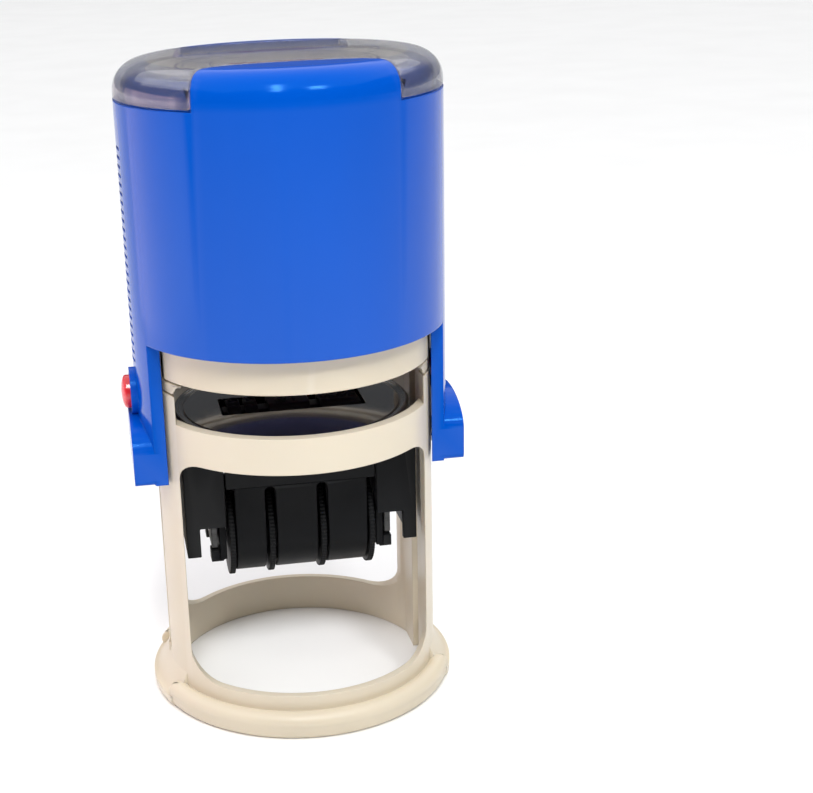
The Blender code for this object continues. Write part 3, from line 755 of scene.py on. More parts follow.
@dataclass
class BaseFrame(Assembly):
    """Ivory foot ring, side walls with their axle tracks, and the middle bands."""

    body = "frame"
    box: Envelope = box_of("base_frame")
    wall_r: float = 25.5
    flat_x: float = 25.1
    foot_bore_r: float = 24.3
    band_bore_r: float = 23.7
    track_x: float = 22.7
    track_floor_x: float = 24.0
    track_half_y: float = 2.5
    slot_half_y: float = 2.0
    slot_ends: Pair = (6.6, 50.0)
    band: Pair = (49.3, 55.8)
    sill: float = 7.2
    window_x: float = 21.9
    bead_r: float = 1.75
    bead_z: float = 3.0
    bead_half_y: float = 10.4
    bead_foot: tuple[Pair, ...] = ((28.3, 0.9), (27.7, 0.0), (24.9, 0.0), (24.9, 3.9))
    skirt_half_y: float = 11.2
    skirt_ends: Pair = (2.0, 9.5)
    skirt_foot: Triple = (0.8, 26.79, -1.3)
    window_radii: tuple[float, ...] = (5, 5, 3.5, 3.5)
    lock_hole: Pair = (2.1, 58.5)

    def outside(self) -> Solid:
        """Solid ring wall with flat outer sides."""
        top = self.box.high.z
        body = Bench.disc("ivory_frame", self.wall_r, -1.0, top)
        return Bench.trim(body, (-self.flat_x, -FAR, -5), (self.flat_x, FAR, 70))

    def hollow(self, body: Solid) -> None:
        """Cut the core, whose bore narrows from the foot up to the bands."""
        drop = 3.0
        low_r = self.foot_bore_r + (self.foot_bore_r - self.band_bore_r) * drop / self.band[0]
        core = Bench.lathe("core", [(0.0, 70.0), (self.band_bore_r, 70.0), (self.band_bore_r, self.band[0]),
                                    (low_r, -drop), (0.0, -drop)])
        Bench.trim(core, (-self.track_x, -FAR, -9), (self.track_x, FAR, 80))
        Bench.work(body, core)

    def skirts(self, body: Solid) -> None:
        """Concave skirts under the side walls, cut flat together with them."""
        foot_r = self.box.high.y
        low, high = self.skirt_ends
        start_r = self.flat_x - 0.4
        steps = 14
        skirt = [(start_r + (foot_r - start_r) * t / steps, low + (high - low) * (1 - t / steps) ** 2)
                 for t in range(steps + 1)]
        inside = self.flat_x - 0.6
        edge_z, heel_r, heel_z = self.skirt_foot
        skirt += [(foot_r, edge_z), (heel_r, heel_z), (inside, heel_z), (inside, high)]
        sides = Bench.lathe("skirt", skirt, closed=True)
        half = self.skirt_half_y
        Bench.trim(sides, (-FAR, -half, -5), (FAR, half, 12))
        Bench.work(body, sides, Join.ADD)
        Bench.trim(body, (-FAR, -FAR, 0), (FAR, FAR, 90))

    def bead(self) -> Solid:
        """Round bead in front and behind, a shell of its own that dips into the wall."""
        outline = arc((self.box.high.y - self.bead_r, self.bead_z), self.bead_r, 150, -30, 14)
        ring = Bench.lathe("bead", [*outline, *self.bead_foot], closed=True)
        half = self.bead_half_y
        Bench.notch(ring, (-FAR, -half, -1), (FAR, half, 12))
        return Bench.soften(ring, 0.3, 3, 50.0)

    def openings(self, body: Solid) -> None:
        """Tracks and slots for the axle pins, the windows and the lock holes."""
        half, floor = self.track_half_y, self.track_floor_x
        Bench.notch(body, (-floor, -half, -1), (floor, half, 70))
        half = self.slot_half_y
        Bench.notch(body, (-FAR, -half, self.slot_ends[0]), (FAR, half, self.slot_ends[1]))
        outline = rounded_box((-self.window_x, self.sill), (self.window_x, self.band[0]), self.window_radii)
        Bench.work(body, Bench.slab("window", outline, (-FAR, FAR), Axis.Y))
        Bench.notch(body, (-self.window_x, -FAR, self.band[1]), (self.window_x, FAR, 70))
        radius, height = self.lock_hole
        Bench.work(body, Bench.rod("lock_hole", radius, (-FAR, FAR), (0.0, height)))

    def build(self) -> None:
        """Model and dress the frame."""
        body = self.outside()
        self.skirts(body)
        self.hollow(body)
        self.openings(body)
        Bench.shade(body)
        self.dress(Bench.join([body, self.bead()]), IVORY, "ivory", "base_frame")


# ---------------------------------------------------------------- ink pad

@dataclass
class PadUnit(Assembly):
    """Upper frame with its rails, the cassette that slides in it, and the two felts."""

    body = "pad_tray"
    housing: Envelope = box_of("pad_housing")
    tray: Envelope = box_of("pad_cassette")
    felt: Envelope = box_of("ink_pad_text")
    date: Envelope = box_of("ink_pad_date")
    flat_x: float = 25.1
    housing_r: float = 25.4
    bay_x: float = 23.6
    rear_bay_r: float = 23.5
    deck: float = 71.2
    head_room: float = 0.45
    felt_crown: float = 0.25
    felt_rim: float = 0.6
    rail_x: float = 21.9
    rail_fillet: float = 2.0
    tray_rear_r: float = 23.1
    post: Pair = (3.2, 4.6)
    post_top: float = 74.5
    edge: float = 0.3

    def upper_frame(self) -> Solid:
        """Ivory deck and side walls around the cassette."""
        low, deck = self.housing.low.z, self.deck
        bay_top = self.tray.high.z + self.head_room
        bay_low = self.tray.low.z - GAP
        body = Bench.disc("ivory_upper_frame", self.housing_r, low, deck)
        Bench.trim(body, (-self.flat_x, -FAR, 50), (self.flat_x, FAR, 80))
        bay = Bench.disc("bay", self.rear_bay_r, bay_low, bay_top)
        Bench.trim(bay, (-self.bay_x, -1, 50), (self.bay_x, FAR, 80))
        Bench.work(body, bay)
        Bench.notch(body, (-self.bay_x, -FAR, bay_low), (self.bay_x, 0, bay_top))
        radius = self.rail_fillet
        rails = rounded_box((-self.rail_x, 50), (self.rail_x, bay_low + 0.05), (0, 0, radius, radius))
        Bench.work(body, Bench.slab("under_rails", rails, (-FAR, self.rear_bay_r - 0.1), Axis.Y))
        Bench.notch(body, (-self.rail_x, 20, 50), (self.rail_x, FAR, bay_low))
        Bench.work(body, Bench.tube("post", self.post, deck - 0.8, self.post_top), Join.ADD)
        return Bench.soften(body, self.edge)

    def cassette(self) -> Solid:
        """Tray with its round front and the pocket for the felts."""
        low, high = self.tray.low.z, self.tray.high.z
        front_r, half_x = -self.tray.low.y, self.tray.high.x
        halves = []
        parts = (("cassette", front_r, (-FAR, 0)), ("rear_half", self.tray_rear_r, (-2, FAR)))
        for name, radius, y_ends in parts:
            half = Bench.disc(name, radius, low, high)
            Bench.trim(half, (-half_x, y_ends[0], 50), (half_x, y_ends[1], 80))
            halves.append(half)
        body = Bench.work(halves[0], halves[1], Join.ADD)
        pocket_r, ceiling = self.felt.high.x + GAP, self.felt.high.z + GAP
        pocket = Bench.disc("pocket", pocket_r, 50.0, ceiling)
        Bench.work(body, pocket)
        return Bench.soften(body, self.edge + 0.1, 3)

    def felts(self) -> list[Solid]:
        """Round text felt with its bay, and the block for the date, both crowned and rounded."""
        low, high, radius = self.felt.low.z, self.felt.high.z, self.felt.high.x
        crown = [(radius * t / 5, low + self.felt_crown * (t / 5) ** 2) for t in range(5)]
        rim = arc((radius - self.felt_rim, low + self.felt_crown + self.felt_rim), self.felt_rim, -90, 0, 4)
        ring = Bench.lathe("text_felt_pad", crown + rim + [(radius, high), (0.0, high)], 96)
        half_x, half_y = self.date.high.x, self.date.high.y
        bay = rounded_box((-half_x - GAP, -half_y - GAP), (half_x + GAP, half_y + GAP), (0.8,) * 4)
        Bench.work(ring, Bench.slab("bay", bay, (50, 80), Axis.Z))
        Bench.soften(ring, 0.35, 3)
        outline = rounded_box((-half_x, -half_y), (half_x, half_y), (0.7,) * 4)
        block = Bench.slab("date_felt_pad", outline, (low, high), Axis.Z)
        Bench.soften(block, 0.5, 4)
        return [ring, block]

    def build(self) -> None:
        """Model and dress the ink pad's pieces."""
        self.dress(self.upper_frame(), IVORY, "ivory", "pad_housing", body="frame")
        self.dress(self.cassette(), IVORY, "ivory", "pad_cassette")
        ring, block = self.felts()
        self.dress(ring, TEXT_FELT, "text_felt", "ink_pad_text")
        self.dress(block, DATE_FELT, "date_felt", "ink_pad_date")


# ---------------------------------------------------------------- return spring

@dataclass
class ReturnSpring(Assembly):
    """Conical coil of wire, built at one length; the real one shortens as the cap is pressed."""

    body = "frame"
    box: Envelope = box_of("return_spring")
    wire: float = 0.55
    turns: float = 5.5
    low_r: float = 14.0
    high_r: float = 7.5
    travel: float = 38.0

    def build(self) -> None:
        """Model and dress the coil."""
        low, high = self.box.low.z + self.wire, self.box.high.z - self.wire
        Bench.clear()
        start = Vector((self.low_r, 0, low)) * MM
        bpy.ops.mesh.primitive_circle_add(vertices=10, radius=self.wire * MM, location=start,
                                          rotation=(pi / 2, 0.0, 0.0))
        coil = bpy.context.object
        coil.name = "coil_spring"
        Bench.settle(coil)
        screw = coil.modifiers.new("coil", "SCREW")
        screw.angle = 2 * pi * self.turns
        screw.screw_offset = (high - low) * MM
        screw.steps = int(self.turns * 32)
        screw.render_steps = screw.steps
        bpy.ops.object.modifier_apply(modifier=screw.name)
        Bench.edit(coil)
        bpy.ops.mesh.select_all(action="DESELECT")
        bpy.ops.mesh.select_non_manifold()
        bpy.ops.mesh.edge_face_add()
        bpy.ops.mesh.select_all(action="SELECT")
        Bench.close()
        self.taper(coil, low, high)
        bpy.ops.object.shade_smooth_by_angle(angle=radians(50))
        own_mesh(coil)
        self.dress(coil, STEEL, "steel", "return_spring")

    def taper(self, coil: Solid, low: float, high: float) -> None:
        """Draw the coil's upper turns in towards the axis.

        Args:
            coil: The straight coil.
            low: Height of its first turn's centre.
            high: Height of its last turn's centre.
        """
        for vertex in coil.data.vertices:
            share = min(1.0, max(0.0, (vertex.co.z / MM - low) / (high - low)))
            reach = sqrt(vertex.co.x ** 2 + vertex.co.y ** 2)
            drawn = reach - (self.low_r - self.high_r) * share * MM
            vertex.co.x *= drawn / reach
            vertex.co.y *= drawn / reach


# ---------------------------------------------------------------- cap

@dataclass(frozen=True)
class ButtonSize:
    """A lock button: its tip, head, step and flange."""

    side: Side
    tip: float
    head_r: float
    step_x: float
    flange_r: float


@dataclass
class Cap(Assembly):
    """Blue cap with its legs, shields and grips, the clear cover, the card and the lock buttons."""

    body = "cap"
    box: Envelope = box_of("cap_shell")
    card: Envelope = box_of("index_card")
    radius: float = 28.2
    bore_r: float = 26.2
    edge_z: float = 69.9
    leg_half_y: float = 11.0
    ear_x: float = 29.7
    ear_shoulder: float = 50.0
    ear_top: float = 55.0
    deck: float = 114.4
    deck_sheet: float = 1.3
    neck_step: float = 1.6
    neck_fillet: float = 2.4
    sink: float = 0.8
    seat: Pair = (5.4, 6.6)
    seat_depth: float = 3.1
    cover_edge: float = 110.2
    cover_wall: float = 1.2
    crown_fillet: float = 5.0
    crown_edge: float = 116.5
    crown_rise: float = 0.6
    shield_half_x: float = 16.8
    shield_y: float = 17.8
    shield_corner: float = 6.0
    shield_inside: Pair = (108.6, 112.0)
    axle: Pair = (1.9, 47.0)
    button_z: float = 58.5
    collar: Pair = (4.35, 29.1)
    grip_ends: Pair = (65.0, 103.0)
    grip_pitch: float = 1.55
    grip_half_y: float = 6.4
    grip_width: float = 0.55
    grip_depth: float = 0.35
    button_dome: float = 0.9
    button_flange: float = 0.7
    button_pin: Pair = (1.6, 25.5)
    left: ButtonSize = ButtonSize(Side.LEFT, 30.7, 3.0, 28.2, 3.5)
    right: ButtonSize = ButtonSize(Side.RIGHT, 28.7, 2.6, 27.6, 3.2)

    def crown(self, thickness: float) -> list[Pair]:
        """Outline of the cap's top, from the middle out to the straight side."""
        radius = self.crown_fillet - thickness
        start = self.radius - self.crown_fillet
        steps = 6
        dome = [(start * i / steps, self.crown_edge - thickness + self.crown_rise * (1 - (i / steps) ** 2))
                for i in range(steps)]
        return dome + arc((start, self.crown_edge - self.crown_fillet), radius, 90, 0, 12)

    def shield_plan(self, clearance: float) -> Solid:
        """Upright solids over both shields, turned in to the back over a wide corner.

        Args:
            clearance: How much wider they are than the shields.

        Returns:
            Both solids as one object.
        """
        half = self.shield_half_x + clearance
        corner = self.shield_corner + clearance
        front = rounded_box((-half, -FAR), (half, -self.shield_y + clearance), (0, 0, corner, corner), 16)
        rear = [(x, -y) for x, y in reversed(front)]
        return Bench.join([Bench.slab("plan", outline, (90, 130), Axis.Z) for outline in (front, rear)])

    def drum(self) -> Solid:
        """Drum with its deck and neck, open between the legs."""
        neck, fillet = self.radius - self.neck_step, self.neck_fillet
        leg = self.box.low.z
        profile = [(0.0, self.deck), (neck - fillet, self.deck)]
        profile += arc((neck - fillet, self.deck - fillet), fillet, 75, 0, 8)
        ceiling = self.deck - self.deck_sheet
        profile += [(neck, self.cover_edge), (self.radius, self.cover_edge), (self.radius, leg),
                    (self.bore_r, leg), (self.bore_r, self.deck - 3.4), (self.bore_r - 2.0, ceiling),
                    (0.0, ceiling)]
        body = Bench.lathe("blue_cap", profile)
        for low, high in ((-FAR, -self.leg_half_y), (self.leg_half_y, FAR)):
            Bench.notch(body, (-FAR, low, 30), (FAR, high, self.edge_z))
        return body

    def shields(self, body: Solid) -> None:
        """Raised shields in front and behind, flush with the drum."""
        inner, seat = self.bore_r + 0.2, self.deck - self.sink
        low, high = self.shield_inside
        under = [(self.radius, self.cover_edge), (inner, low), (inner, high), (inner - 1.9, seat),
                 (0.0, seat)]
        shield = Bench.lathe("shield", self.crown(0.0) + under)
        Bench.work(shield, self.shield_plan(0.0), Join.KEEP)
        Bench.work(body, shield, Join.ADD)

    def ear(self, side: Side) -> Solid:
        """Flat boss at the foot of a leg, arched at its top."""
        half, leg, corner = self.leg_half_y, self.box.low.z, 1.0
        rise = self.ear_top - self.ear_shoulder
        outline = [(half * cos(radians(turn)), self.ear_shoulder + rise * sin(radians(turn)))
                   for turn in range(0, 181, 6)]
        outline += arc((-half + corner, leg + corner), corner, 180, 270, 4)
        outline += arc((half - corner, leg + corner), corner, 270, 360, 4)
        boss = Bench.slab("ear", outline, (side.value * 23.0, side.value * self.ear_x), Axis.X)
        bore = Bench.disc("ear_bore", self.radius - 1.0, 40.0, 60.0)
        return Bench.work(boss, bore)

    def holes(self, body: Solid) -> None:
        """Axle holes, the collar, and the stepped holes of the lock buttons."""
        radius, height = self.axle
        for side in Side:
            ends = (side.value * 20, side.value * 28.4)
            Bench.work(body, Bench.rod("axle_hole", radius, ends, (0.0, height), MEDIUM))
        radius, reach = self.collar
        Bench.work(body, Bench.rod("collar", radius, (-reach, -27.0), (0.0, self.button_z), 64), Join.ADD)
        for size in (self.left, self.right):
            side = size.side.value
            place = (0.0, self.button_z)
            outer = (side * (size.step_x - 0.1), side * 35)
            inner = (side * 20, side * size.step_x)
            Bench.work(body, Bench.rod("head_hole", size.head_r + GAP, outer, place, MEDIUM))
            Bench.work(body, Bench.rod("flange_hole", size.flange_r + GAP, inner, place, MEDIUM))

    def grips(self, body: Solid) -> None:
        """Fine level grooves down both sides for the fingers."""
        low, high = self.grip_ends
        count = int((high - low) / self.grip_pitch)
        grooves = []
        for side in Side:
            for index in range(count + 1):
                z = low + index * self.grip_pitch
                half = self.grip_half_y * (0.82 + 0.18 * index / count)
                floor, clear = self.radius - self.grip_depth, self.radius + 2
                left, right = sorted((side.value * floor, side.value * clear))
                top = z + self.grip_width
                grooves.append(Bench.block("groove", (left, -half, z), (right, half, top)))
        Bench.work(body, Bench.join(grooves))

    def cover(self) -> Solid:
        """Clear cover, notched for the shields."""
        low = self.cover_edge + GAP
        rim = [(self.radius, low), (self.radius - self.cover_wall, low)]
        cover = Bench.lathe("clear_cover", self.crown(0.0) + rim + self.crown(self.cover_wall)[::-1])
        Bench.work(cover, self.shield_plan(GAP))
        return Bench.soften(cover, 0.25, 2)

    def index_card(self) -> Solid:
        """Card disc, trimmed to clear the shields."""
        low, high, radius = self.card.low.z, self.card.high.z, self.card.high.x
        card = Bench.disc("printed_card", radius, low, high)
        trim = self.shield_y - 0.5
        Bench.trim(card, (-FAR, -trim, 100), (FAR, trim, 130))
        return Bench.soften(card, 0.06, 1)

    def button(self, name: str, size: ButtonSize) -> Solid:
        """Lock button with a domed head, a flange and a pin.

        Args:
            name: Name of the piece.
            size: Its side and sizes.

        Returns:
            The button, along X.
        """
        flange_out = size.step_x - GAP
        flange_in = flange_out - self.button_flange
        dome, (pin_r, pin_x) = self.button_dome, self.button_pin
        profile = [(0.0, size.tip)]
        profile += [(size.head_r * sin(radians(turn)), size.tip - dome * (1 - cos(radians(turn))))
                    for turn in range(10, 91, 10)]
        profile += [(size.head_r, flange_out), (size.flange_r, flange_out), (size.flange_r, flange_in),
                    (pin_r, flange_in), (pin_r, pin_x), (0.0, pin_x)]
        button = Bench.lathe(name, profile, MEDIUM)
        button.rotation_euler = (0.0, size.side.value * pi / 2, 0.0)
        button.location = Vector((0.0, 0.0, self.button_z)) * MM
        Bench.settle(button)
        return Bench.soften(button, 0.12, 2)

    def build(self) -> None:
        """Model and dress the cap's pieces."""
        body = self.drum()
        self.shields(body)
        for side in Side:
            Bench.work(body, self.ear(side), Join.ADD)
        self.holes(body)
        self.grips(body)
        seat = self.deck - self.sink
        Bench.work(body, Bench.tube("seat", self.seat, seat - self.seat_depth, seat), Join.ADD)
        Bench.smooth(body)
        self.dress(body, BLUE, "blue", "cap_shell")
        self.dress(self.index_card(), CARD, "card", "index_card")
        self.dress(self.cover(), SMOKE, "smoked_cover", "top_cover", body="cover")
        for size in (self.left, self.right):
            word = size.side.name.lower()
            button = self.button(f"red_button_{word}", size)
            self.dress(button, RED, "red", f"lock_button_{word}", body=f"lock_{word}")


# ---------------------------------------------------------------- flip carriage

@dataclass
class Carriage(Assembly):
    """Die plate, its black frame, the guard over the wheels, and the axle's small parts."""

    body = "carriage"
    plate: Envelope = box_of("die_plate")
    radius: float = 21.5
    face: float = 54.0
    window: Pair = (13.1, 4.7)
    groove: Pair = (19.7, 20.1)
    wheel_z: float = 31.0
    cover_r: float = 8.7
    cover_wall: float = 1.1
    cover_x: float = 12.1
    slot_centres: Pair = (-5.6, 3.9)
    slot_half: float = 1.0
    slot_top: float = 41.0
    beam_x: float = 13.6
    beam_ends: Pair = (41.2, 45.0)

    def die_plate(self) -> Solid:
        """Round plate with a raised rim, a fine groove and the date window."""
        low, face, edge = self.plate.low.z, self.face, self.radius
        inner, outer = self.groove
        bed = face - 0.25
        top = [(0.0, face), (inner, face), (inner + 0.1, bed), (outer - 0.1, bed), (outer, face)]
        rim = [(edge - 0.9, face), (edge - 0.7, face + 0.3), (edge - 0.2, face + 0.3), (edge, face + 0.1)]
        plate = Bench.lathe("black_die_plate", top + rim + [(edge, low), (0.0, low)])
        half_x, half_y = self.window
        outline = rounded_box((-half_x, -half_y), (half_x, half_y), (0.4,) * 4, 4)
        Bench.work(plate, Bench.slab("date_window", outline, (40, 60), Axis.Z))
        return Bench.soften(plate, 0.12, 2, 30.0)

    def guard(self) -> Solid:
        """Curved guard over the wheels, slotted for the middle two."""
        outer, inner = self.cover_r, self.cover_r - self.cover_wall
        centre = (0.0, self.wheel_z)
        low, high = self.beam_ends
        outline = [(-outer, high)] + arc(centre, outer, 180, 300, 30)
        outline += arc(centre, inner, 300, 180, 30) + [(-inner, high)]
        guard = Bench.slab("wheel_guard", outline, (-self.cover_x, self.cover_x), Axis.X)
        beam = Bench.block("beam", (-self.beam_x, -outer - 0.2, low), (self.beam_x, -inner, high))
        Bench.work(guard, beam, Join.ADD)
        for x in self.slot_centres:
            half = self.slot_half
            arch = rounded_box((x - half, 10.0), (x + half, self.slot_top), (0, 0, 0.95, 0.95), 5)
            Bench.work(guard, Bench.slab("wheel_slot", arch, (-20, 20), Axis.Y))
        return Bench.soften(guard, 0.2, 2)

    def build(self) -> None:
        """Model and dress the carriage's pieces."""
        self.dress(self.die_plate(), GLOSS_BLACK, "gloss_black", "die_plate")
        self.dress(self.guard(), BLACK, "black", "wheel_cover")
        small = (
            ("carriage_frame", "carriage_deck", BLACK, "black", 0.18),
            ("band_bridge", "date_bridge", BLACK, "black", 0.15),
            ("flip_cam_left", "cam_left", BLACK, "black", 0.12),
            ("flip_cam_right", "cam_right", BLACK, "black", 0.12),
            # The axle clips take the darkened steel, whose colour holds painted shade as well as a duller
            # plating.
            ("axle_clip_left", "clip_left", DULL_AND_SHADED_STEEL, "steel", 0.1),
            ("axle_clip_right", "clip_right", DULL_AND_SHADED_STEEL, "steel", 0.1),
        )
        for node, name, finish, slot, width in small:
            self.dress(Bench.soften(Bench.copy_of(node, name), width), finish, slot, node)
        rods = (("axle_pin_left", "stub_axle_left"), ("axle_pin_right", "stub_axle_right"),
                ("wheel_axle", "date_axle"))
        for node, name in rods:
            box = Envelope.of(node)
            centre = (0.0, (box.low.z + box.high.z) / 2)
            piece = Bench.rod(name, box.high.y, (box.low.x, box.high.x), centre, MEDIUM)
            self.dress(Bench.soften(piece, 0.2), STEEL, "steel", node)


# ---------------------------------------------------------------- date train

@dataclass(frozen=True)
class DateSet:
    """One thumb wheel and its band."""

    number: int
    flange_x: float
    hub: Pair
    band: Pair
    rows: tuple[str, ...]


@dataclass
class DateTrain(Assembly):
    """Four knurled thumb wheels, and the rubber bands with raised, mirrored characters."""

    body = "carriage"
    wheel_z: float = 31.0
    wheel_r: float = 9.5
    knurl: float = 0.28
    teeth: int = 84
    flange: float = 1.0
    hub_r: float = 6.1
    bore_r: float = 1.5
    band_r: float = 7.2
    band_wall: float = 0.8
    nose_r: float = 1.6
    nose_y: float = 2.0
    relief: float = 0.45
    letter: float = 3.4
    spacing: float = 5.3
    sets: tuple[DateSet, ...] = (
        DateSet(1, -12.9, (-12.9, -9.2), (-11.9, -9.5), ("2", "3", "1")),
        DateSet(2, -5.6, (-8.9, -5.6), (-8.7, -6.4), ("2", "3", "1")),
        DateSet(3, 3.9, (-4.8, 3.9), (-4.5, 3.1), ("10", "11", "09")),
        DateSet(4, 12.9, (4.7, 12.9), (5.0, 12.1), ("2020", "2021", "2019")),
    )

    def wheel(self, spec: DateSet) -> Solid:
        """Thumb wheel: a disc whose rim is drawn in at every second edge, on a plain hub.

        Args:
            spec: The wheel's places.

        Returns:
            The wheel.
        """
        half = self.flange / 2
        ends = (spec.flange_x - half, spec.flange_x + half)
        centre = (0.0, self.wheel_z)
        wheel = Bench.rod(f"thumb_wheel_{spec.number}", self.wheel_r, ends, centre, self.teeth * 2)
        Bench.edit(wheel)
        bpy.ops.mesh.select_all(action="DESELECT")
        mesh = bmesh.from_edit_mesh(wheel.data)
        for vertex in mesh.verts:
            turn = atan2(vertex.co.z - self.wheel_z * MM, vertex.co.y) % (2 * pi)
            vertex.select = round(turn * self.teeth / pi) % 2 == 1
        mesh.select_flush_mode()
        bmesh.update_edit_mesh(wheel.data)
        share = (self.wheel_r - self.knurl) / self.wheel_r
        bpy.ops.transform.resize(value=(1.0, share, share), center_override=(0.0, 0.0, self.wheel_z * MM))
        Bench.close()
        Bench.work(wheel, Bench.rod("hub", self.hub_r, spec.hub, centre, MEDIUM), Join.ADD)
        Bench.work(wheel, Bench.rod("bore", self.bore_r, (-30, 30), centre, SMALL))
        return Bench.soften(wheel, 0.08, 1, 50.0)

    def loop(self, outset: float, face: float) -> list[Pair]:
        """Side view of a band: round under the wheel and flat over the bridge.

        Args:
            outset: How far outside the band's face the line runs.
            face: Height of the print face.

        Returns:
            The outline as (y, z).
        """
        wheel_r, nose_r = self.band_r + outset, self.nose_r + outset
        nose = (self.nose_y, face - self.nose_r)
        rise = nose[1] - self.wheel_z
        reach = sqrt(nose[0] ** 2 + rise ** 2)
        tangent = (atan2(rise, nose[0]) - acos((wheel_r - nose_r) / reach)) * 180 / pi
        right = arc(nose, nose_r, tangent, 90, 8)
        left = [(-y, z) for y, z in reversed(right)]
        return right + left + arc((0.0, self.wheel_z), wheel_r, 180 - tangent, 360 + tangent, 40)

    def character_row(self, text: str, middle: float, width: float, matrix: Matrix) -> Solid:
        """Raised characters, mirrored as on a printing face.

        Args:
            text: The characters.
            middle: Centre of the band along X.
            width: Room for the row along X.
            matrix: Place and turn of the row, in metres.

        Returns:
            The row as a mesh.
        """
        Bench.clear()
        bpy.ops.object.text_add()
        row = bpy.context.object
        row.name = "characters"
        row.data.body = text
        row.data.align_x = "CENTER"
        row.data.align_y = "CENTER"
        row.data.size = self.letter * 1.35 * MM
        row.data.resolution_u = 4
        row.data.extrude = self.relief / 2 * MM + 0.05 * MM
        bpy.ops.object.convert(target="MESH")
        row = bpy.context.object
        fit = min(1.0, width * MM / max(row.dimensions.x, 1e-6))
        row.data.transform(Matrix.Diagonal((-fit, 1.0, 1.0, 1.0)))
        row.data.transform(Matrix.Translation((middle * MM, 0.0, 0.0)) @ matrix)
        Bench.edit(row)
        Bench.close()
        return row

    def band(self, spec: DateSet) -> Solid:
        """Rubber band with a row of characters on top and one down each side.

        Args:
            spec: The band's places and characters.

        Returns:
            The band.
        """
        node = Envelope.of(f"date_band_{spec.number}")
        face = node.high.z
        band = Bench.slab(f"rubber_band_{spec.number}", self.loop(0.0, face), spec.band, Axis.X)
        Bench.work(band, Bench.slab("inside", self.loop(-self.band_wall, face), (-30, 30), Axis.X))
        Bench.soften(band, 0.12, 1)
        middle, width = sum(spec.band) / 2, abs(spec.band[1] - spec.band[0]) - 0.3
        lean = atan2(self.band_r - self.nose_y - self.nose_r, face - self.nose_r - self.wheel_z)
        half = self.relief / 2 - 0.05
        top = Matrix.Translation(Vector((0.0, 0.0, face + half)) * MM)
        rows = [self.character_row(spec.rows[0], middle, width, top)]
        for sign, text in ((-1, spec.rows[1]), (1, spec.rows[2])):
            drop = self.spacing - self.nose_y
            y = self.nose_y + self.nose_r + drop * sin(lean) + half
            z = face - self.nose_r - drop * cos(lean)
            turn = Matrix.Rotation(-sign * (pi / 2 - lean), 4, "X")
            place = Matrix.Translation(Vector((0.0, sign * y, z)) * MM)
            rows.append(self.character_row(text, middle, width, place @ turn))
        return Bench.join([band, *rows])

    def build(self) -> None:
        """Model and dress the wheels and bands."""
        for spec in self.sets:
            number = spec.number
            self.dress(self.wheel(spec), BLACK, "black", f"date_wheel_{number}", body=f"wheel_{number}")
            self.dress(self.band(spec), RUBBER, "band_rubber", f"date_band_{number}")


# ---------------------------------------------------------------- studio

@dataclass(frozen=True)
class Softbox:
    """One rectangular light."""

    name: str
    place: Triple
    size: Pair
    power: float
    colour: Triple = (1.0, 1.0, 1.0)


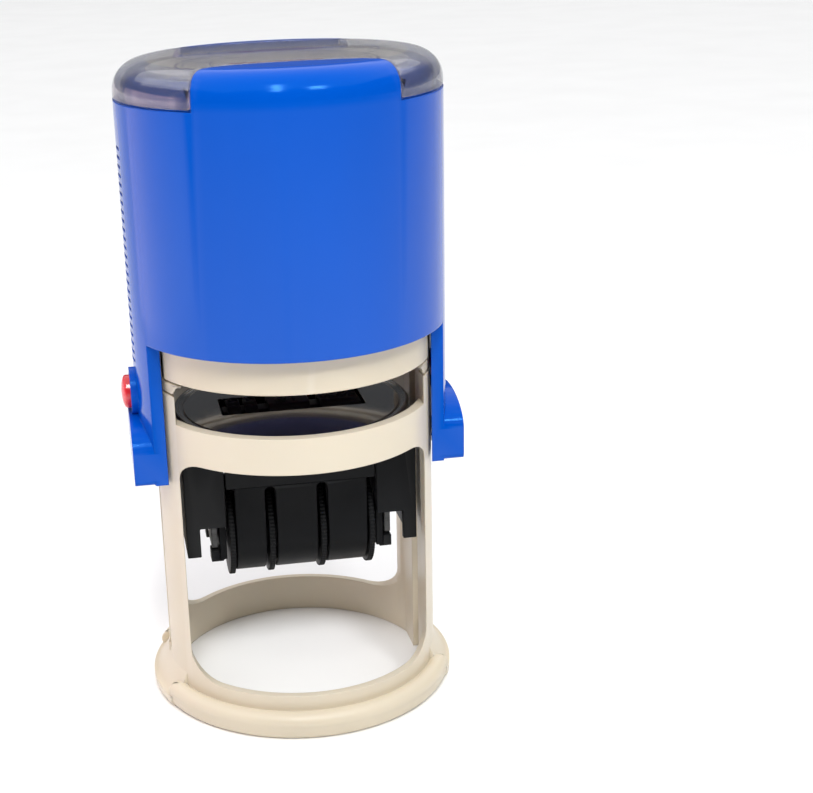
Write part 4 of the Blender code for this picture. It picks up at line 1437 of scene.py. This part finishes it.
@dataclass
class Studio:
    """Pale floor, soft lights and the camera."""

    camera_place: Triple = (-33.64, -260.45, 142.12)
    target: Triple = (0.0, 0.0, 50.0)
    roll: float = -2.44
    lens: float = 66.9
    shift: Pair = (0.141, 0.031)
    floor_half: float = 9.0
    floor_drop: float = 0.05
    paper: tuple[Triple, Triple] = ((0.92, 0.92, 0.918), (0.95, 0.95, 0.948))
    surround: float = 0.12
    surround_colour: Triple = (0.93, 0.95, 1.0)
    aim: Triple = (0.0, 0.0, 60.0)
    lights: tuple[Softbox, ...] = (
        Softbox("sky", (0, 400, 3500), (9000, 9000), 345.0),
        Softbox("key", (-60, -420, 560), (60, 260), 1.6, (1.0, 0.99, 0.97)),
        Softbox("window", (170, -400, 470), (90, 90), 0.9, (0.97, 0.99, 1.0)),
        Softbox("left_panel", (-230, 50, 80), (260, 150), 0.14, (1.0, 0.72, 0.80)),
    )

    def floor(self) -> None:
        """Wide pale floor, gently mottled."""
        Bench.clear()
        bpy.ops.mesh.primitive_plane_add(size=2 * self.floor_half)
        floor = bpy.context.object
        floor.name = "floor"
        floor.location.z = -self.floor_drop * MM
        graph = Graph("floor_paper")
        cloud = graph.span(graph.noise(60.0, 3.0), (0.3, 0.7), UNIT)
        graph.feed(graph.mix(cloud, *self.paper), "Base Color")
        graph.set({"Roughness": 0.7})
        floor.data.materials.append(graph.material)

    def light(self) -> None:
        """Softboxes around the stamp, and an even pale surround."""
        centre = Vector(self.aim) * MM
        for box in self.lights:
            data = bpy.data.lights.new(box.name, "AREA")
            data.shape = "RECTANGLE"
            data.size, data.size_y = (side * MM for side in box.size)
            data.energy = box.power
            data.color = box.colour
            lamp = bpy.data.objects.new(box.name, data)
            bpy.context.scene.collection.objects.link(lamp)
            lamp.location = Vector(box.place) * MM
            lamp.rotation_euler = (centre - lamp.location).to_track_quat("-Z", "Y").to_euler()
        world = bpy.data.worlds.new("surround")
        world.use_nodes = True
        background = world.node_tree.nodes["Background"]
        background.inputs["Color"].default_value = (*self.surround_colour, 1.0)
        background.inputs["Strength"].default_value = self.surround
        bpy.context.scene.world = world

    def camera(self) -> None:
        """Camera in front, a little above and to the left, slightly rolled."""
        place, target = Vector(self.camera_place) * MM, Vector(self.target) * MM
        forward = (target - place).normalized()
        level = forward.cross(Vector((0.0, 0.0, 1.0))).normalized()
        above = level.cross(forward)
        roll = radians(self.roll)
        right = level * cos(roll) + above * sin(roll)
        up = right.cross(forward)
        data = bpy.data.cameras.new("camera")
        data.lens = self.lens
        data.shift_x, data.shift_y = self.shift
        data.clip_start = 0.01
        camera = bpy.data.objects.new("camera", data)
        bpy.context.scene.collection.objects.link(camera)
        turn = Matrix((right, up, -forward)).transposed().to_4x4()
        camera.matrix_world = Matrix.Translation(place) @ turn
        bpy.context.scene.camera = camera

    def build(self) -> None:
        """Set the stage, with plain colour so that the plastics keep their depth."""
        bpy.context.scene.view_settings.view_transform = "Standard"
        self.floor()
        self.light()
        self.camera()


def main() -> None:
    """Build the sub-assemblies in order, then the studio."""
    logging.basicConfig(level=logging.INFO, format="%(name)s: %(message)s")
    for assembly in (BaseFrame(), PadUnit(), ReturnSpring(), Cap(), Carriage(), DateTrain(), Studio()):
        log.info("building %s", type(assembly).__name__)
        assembly.build()


if __name__ == "__main__":
    main()
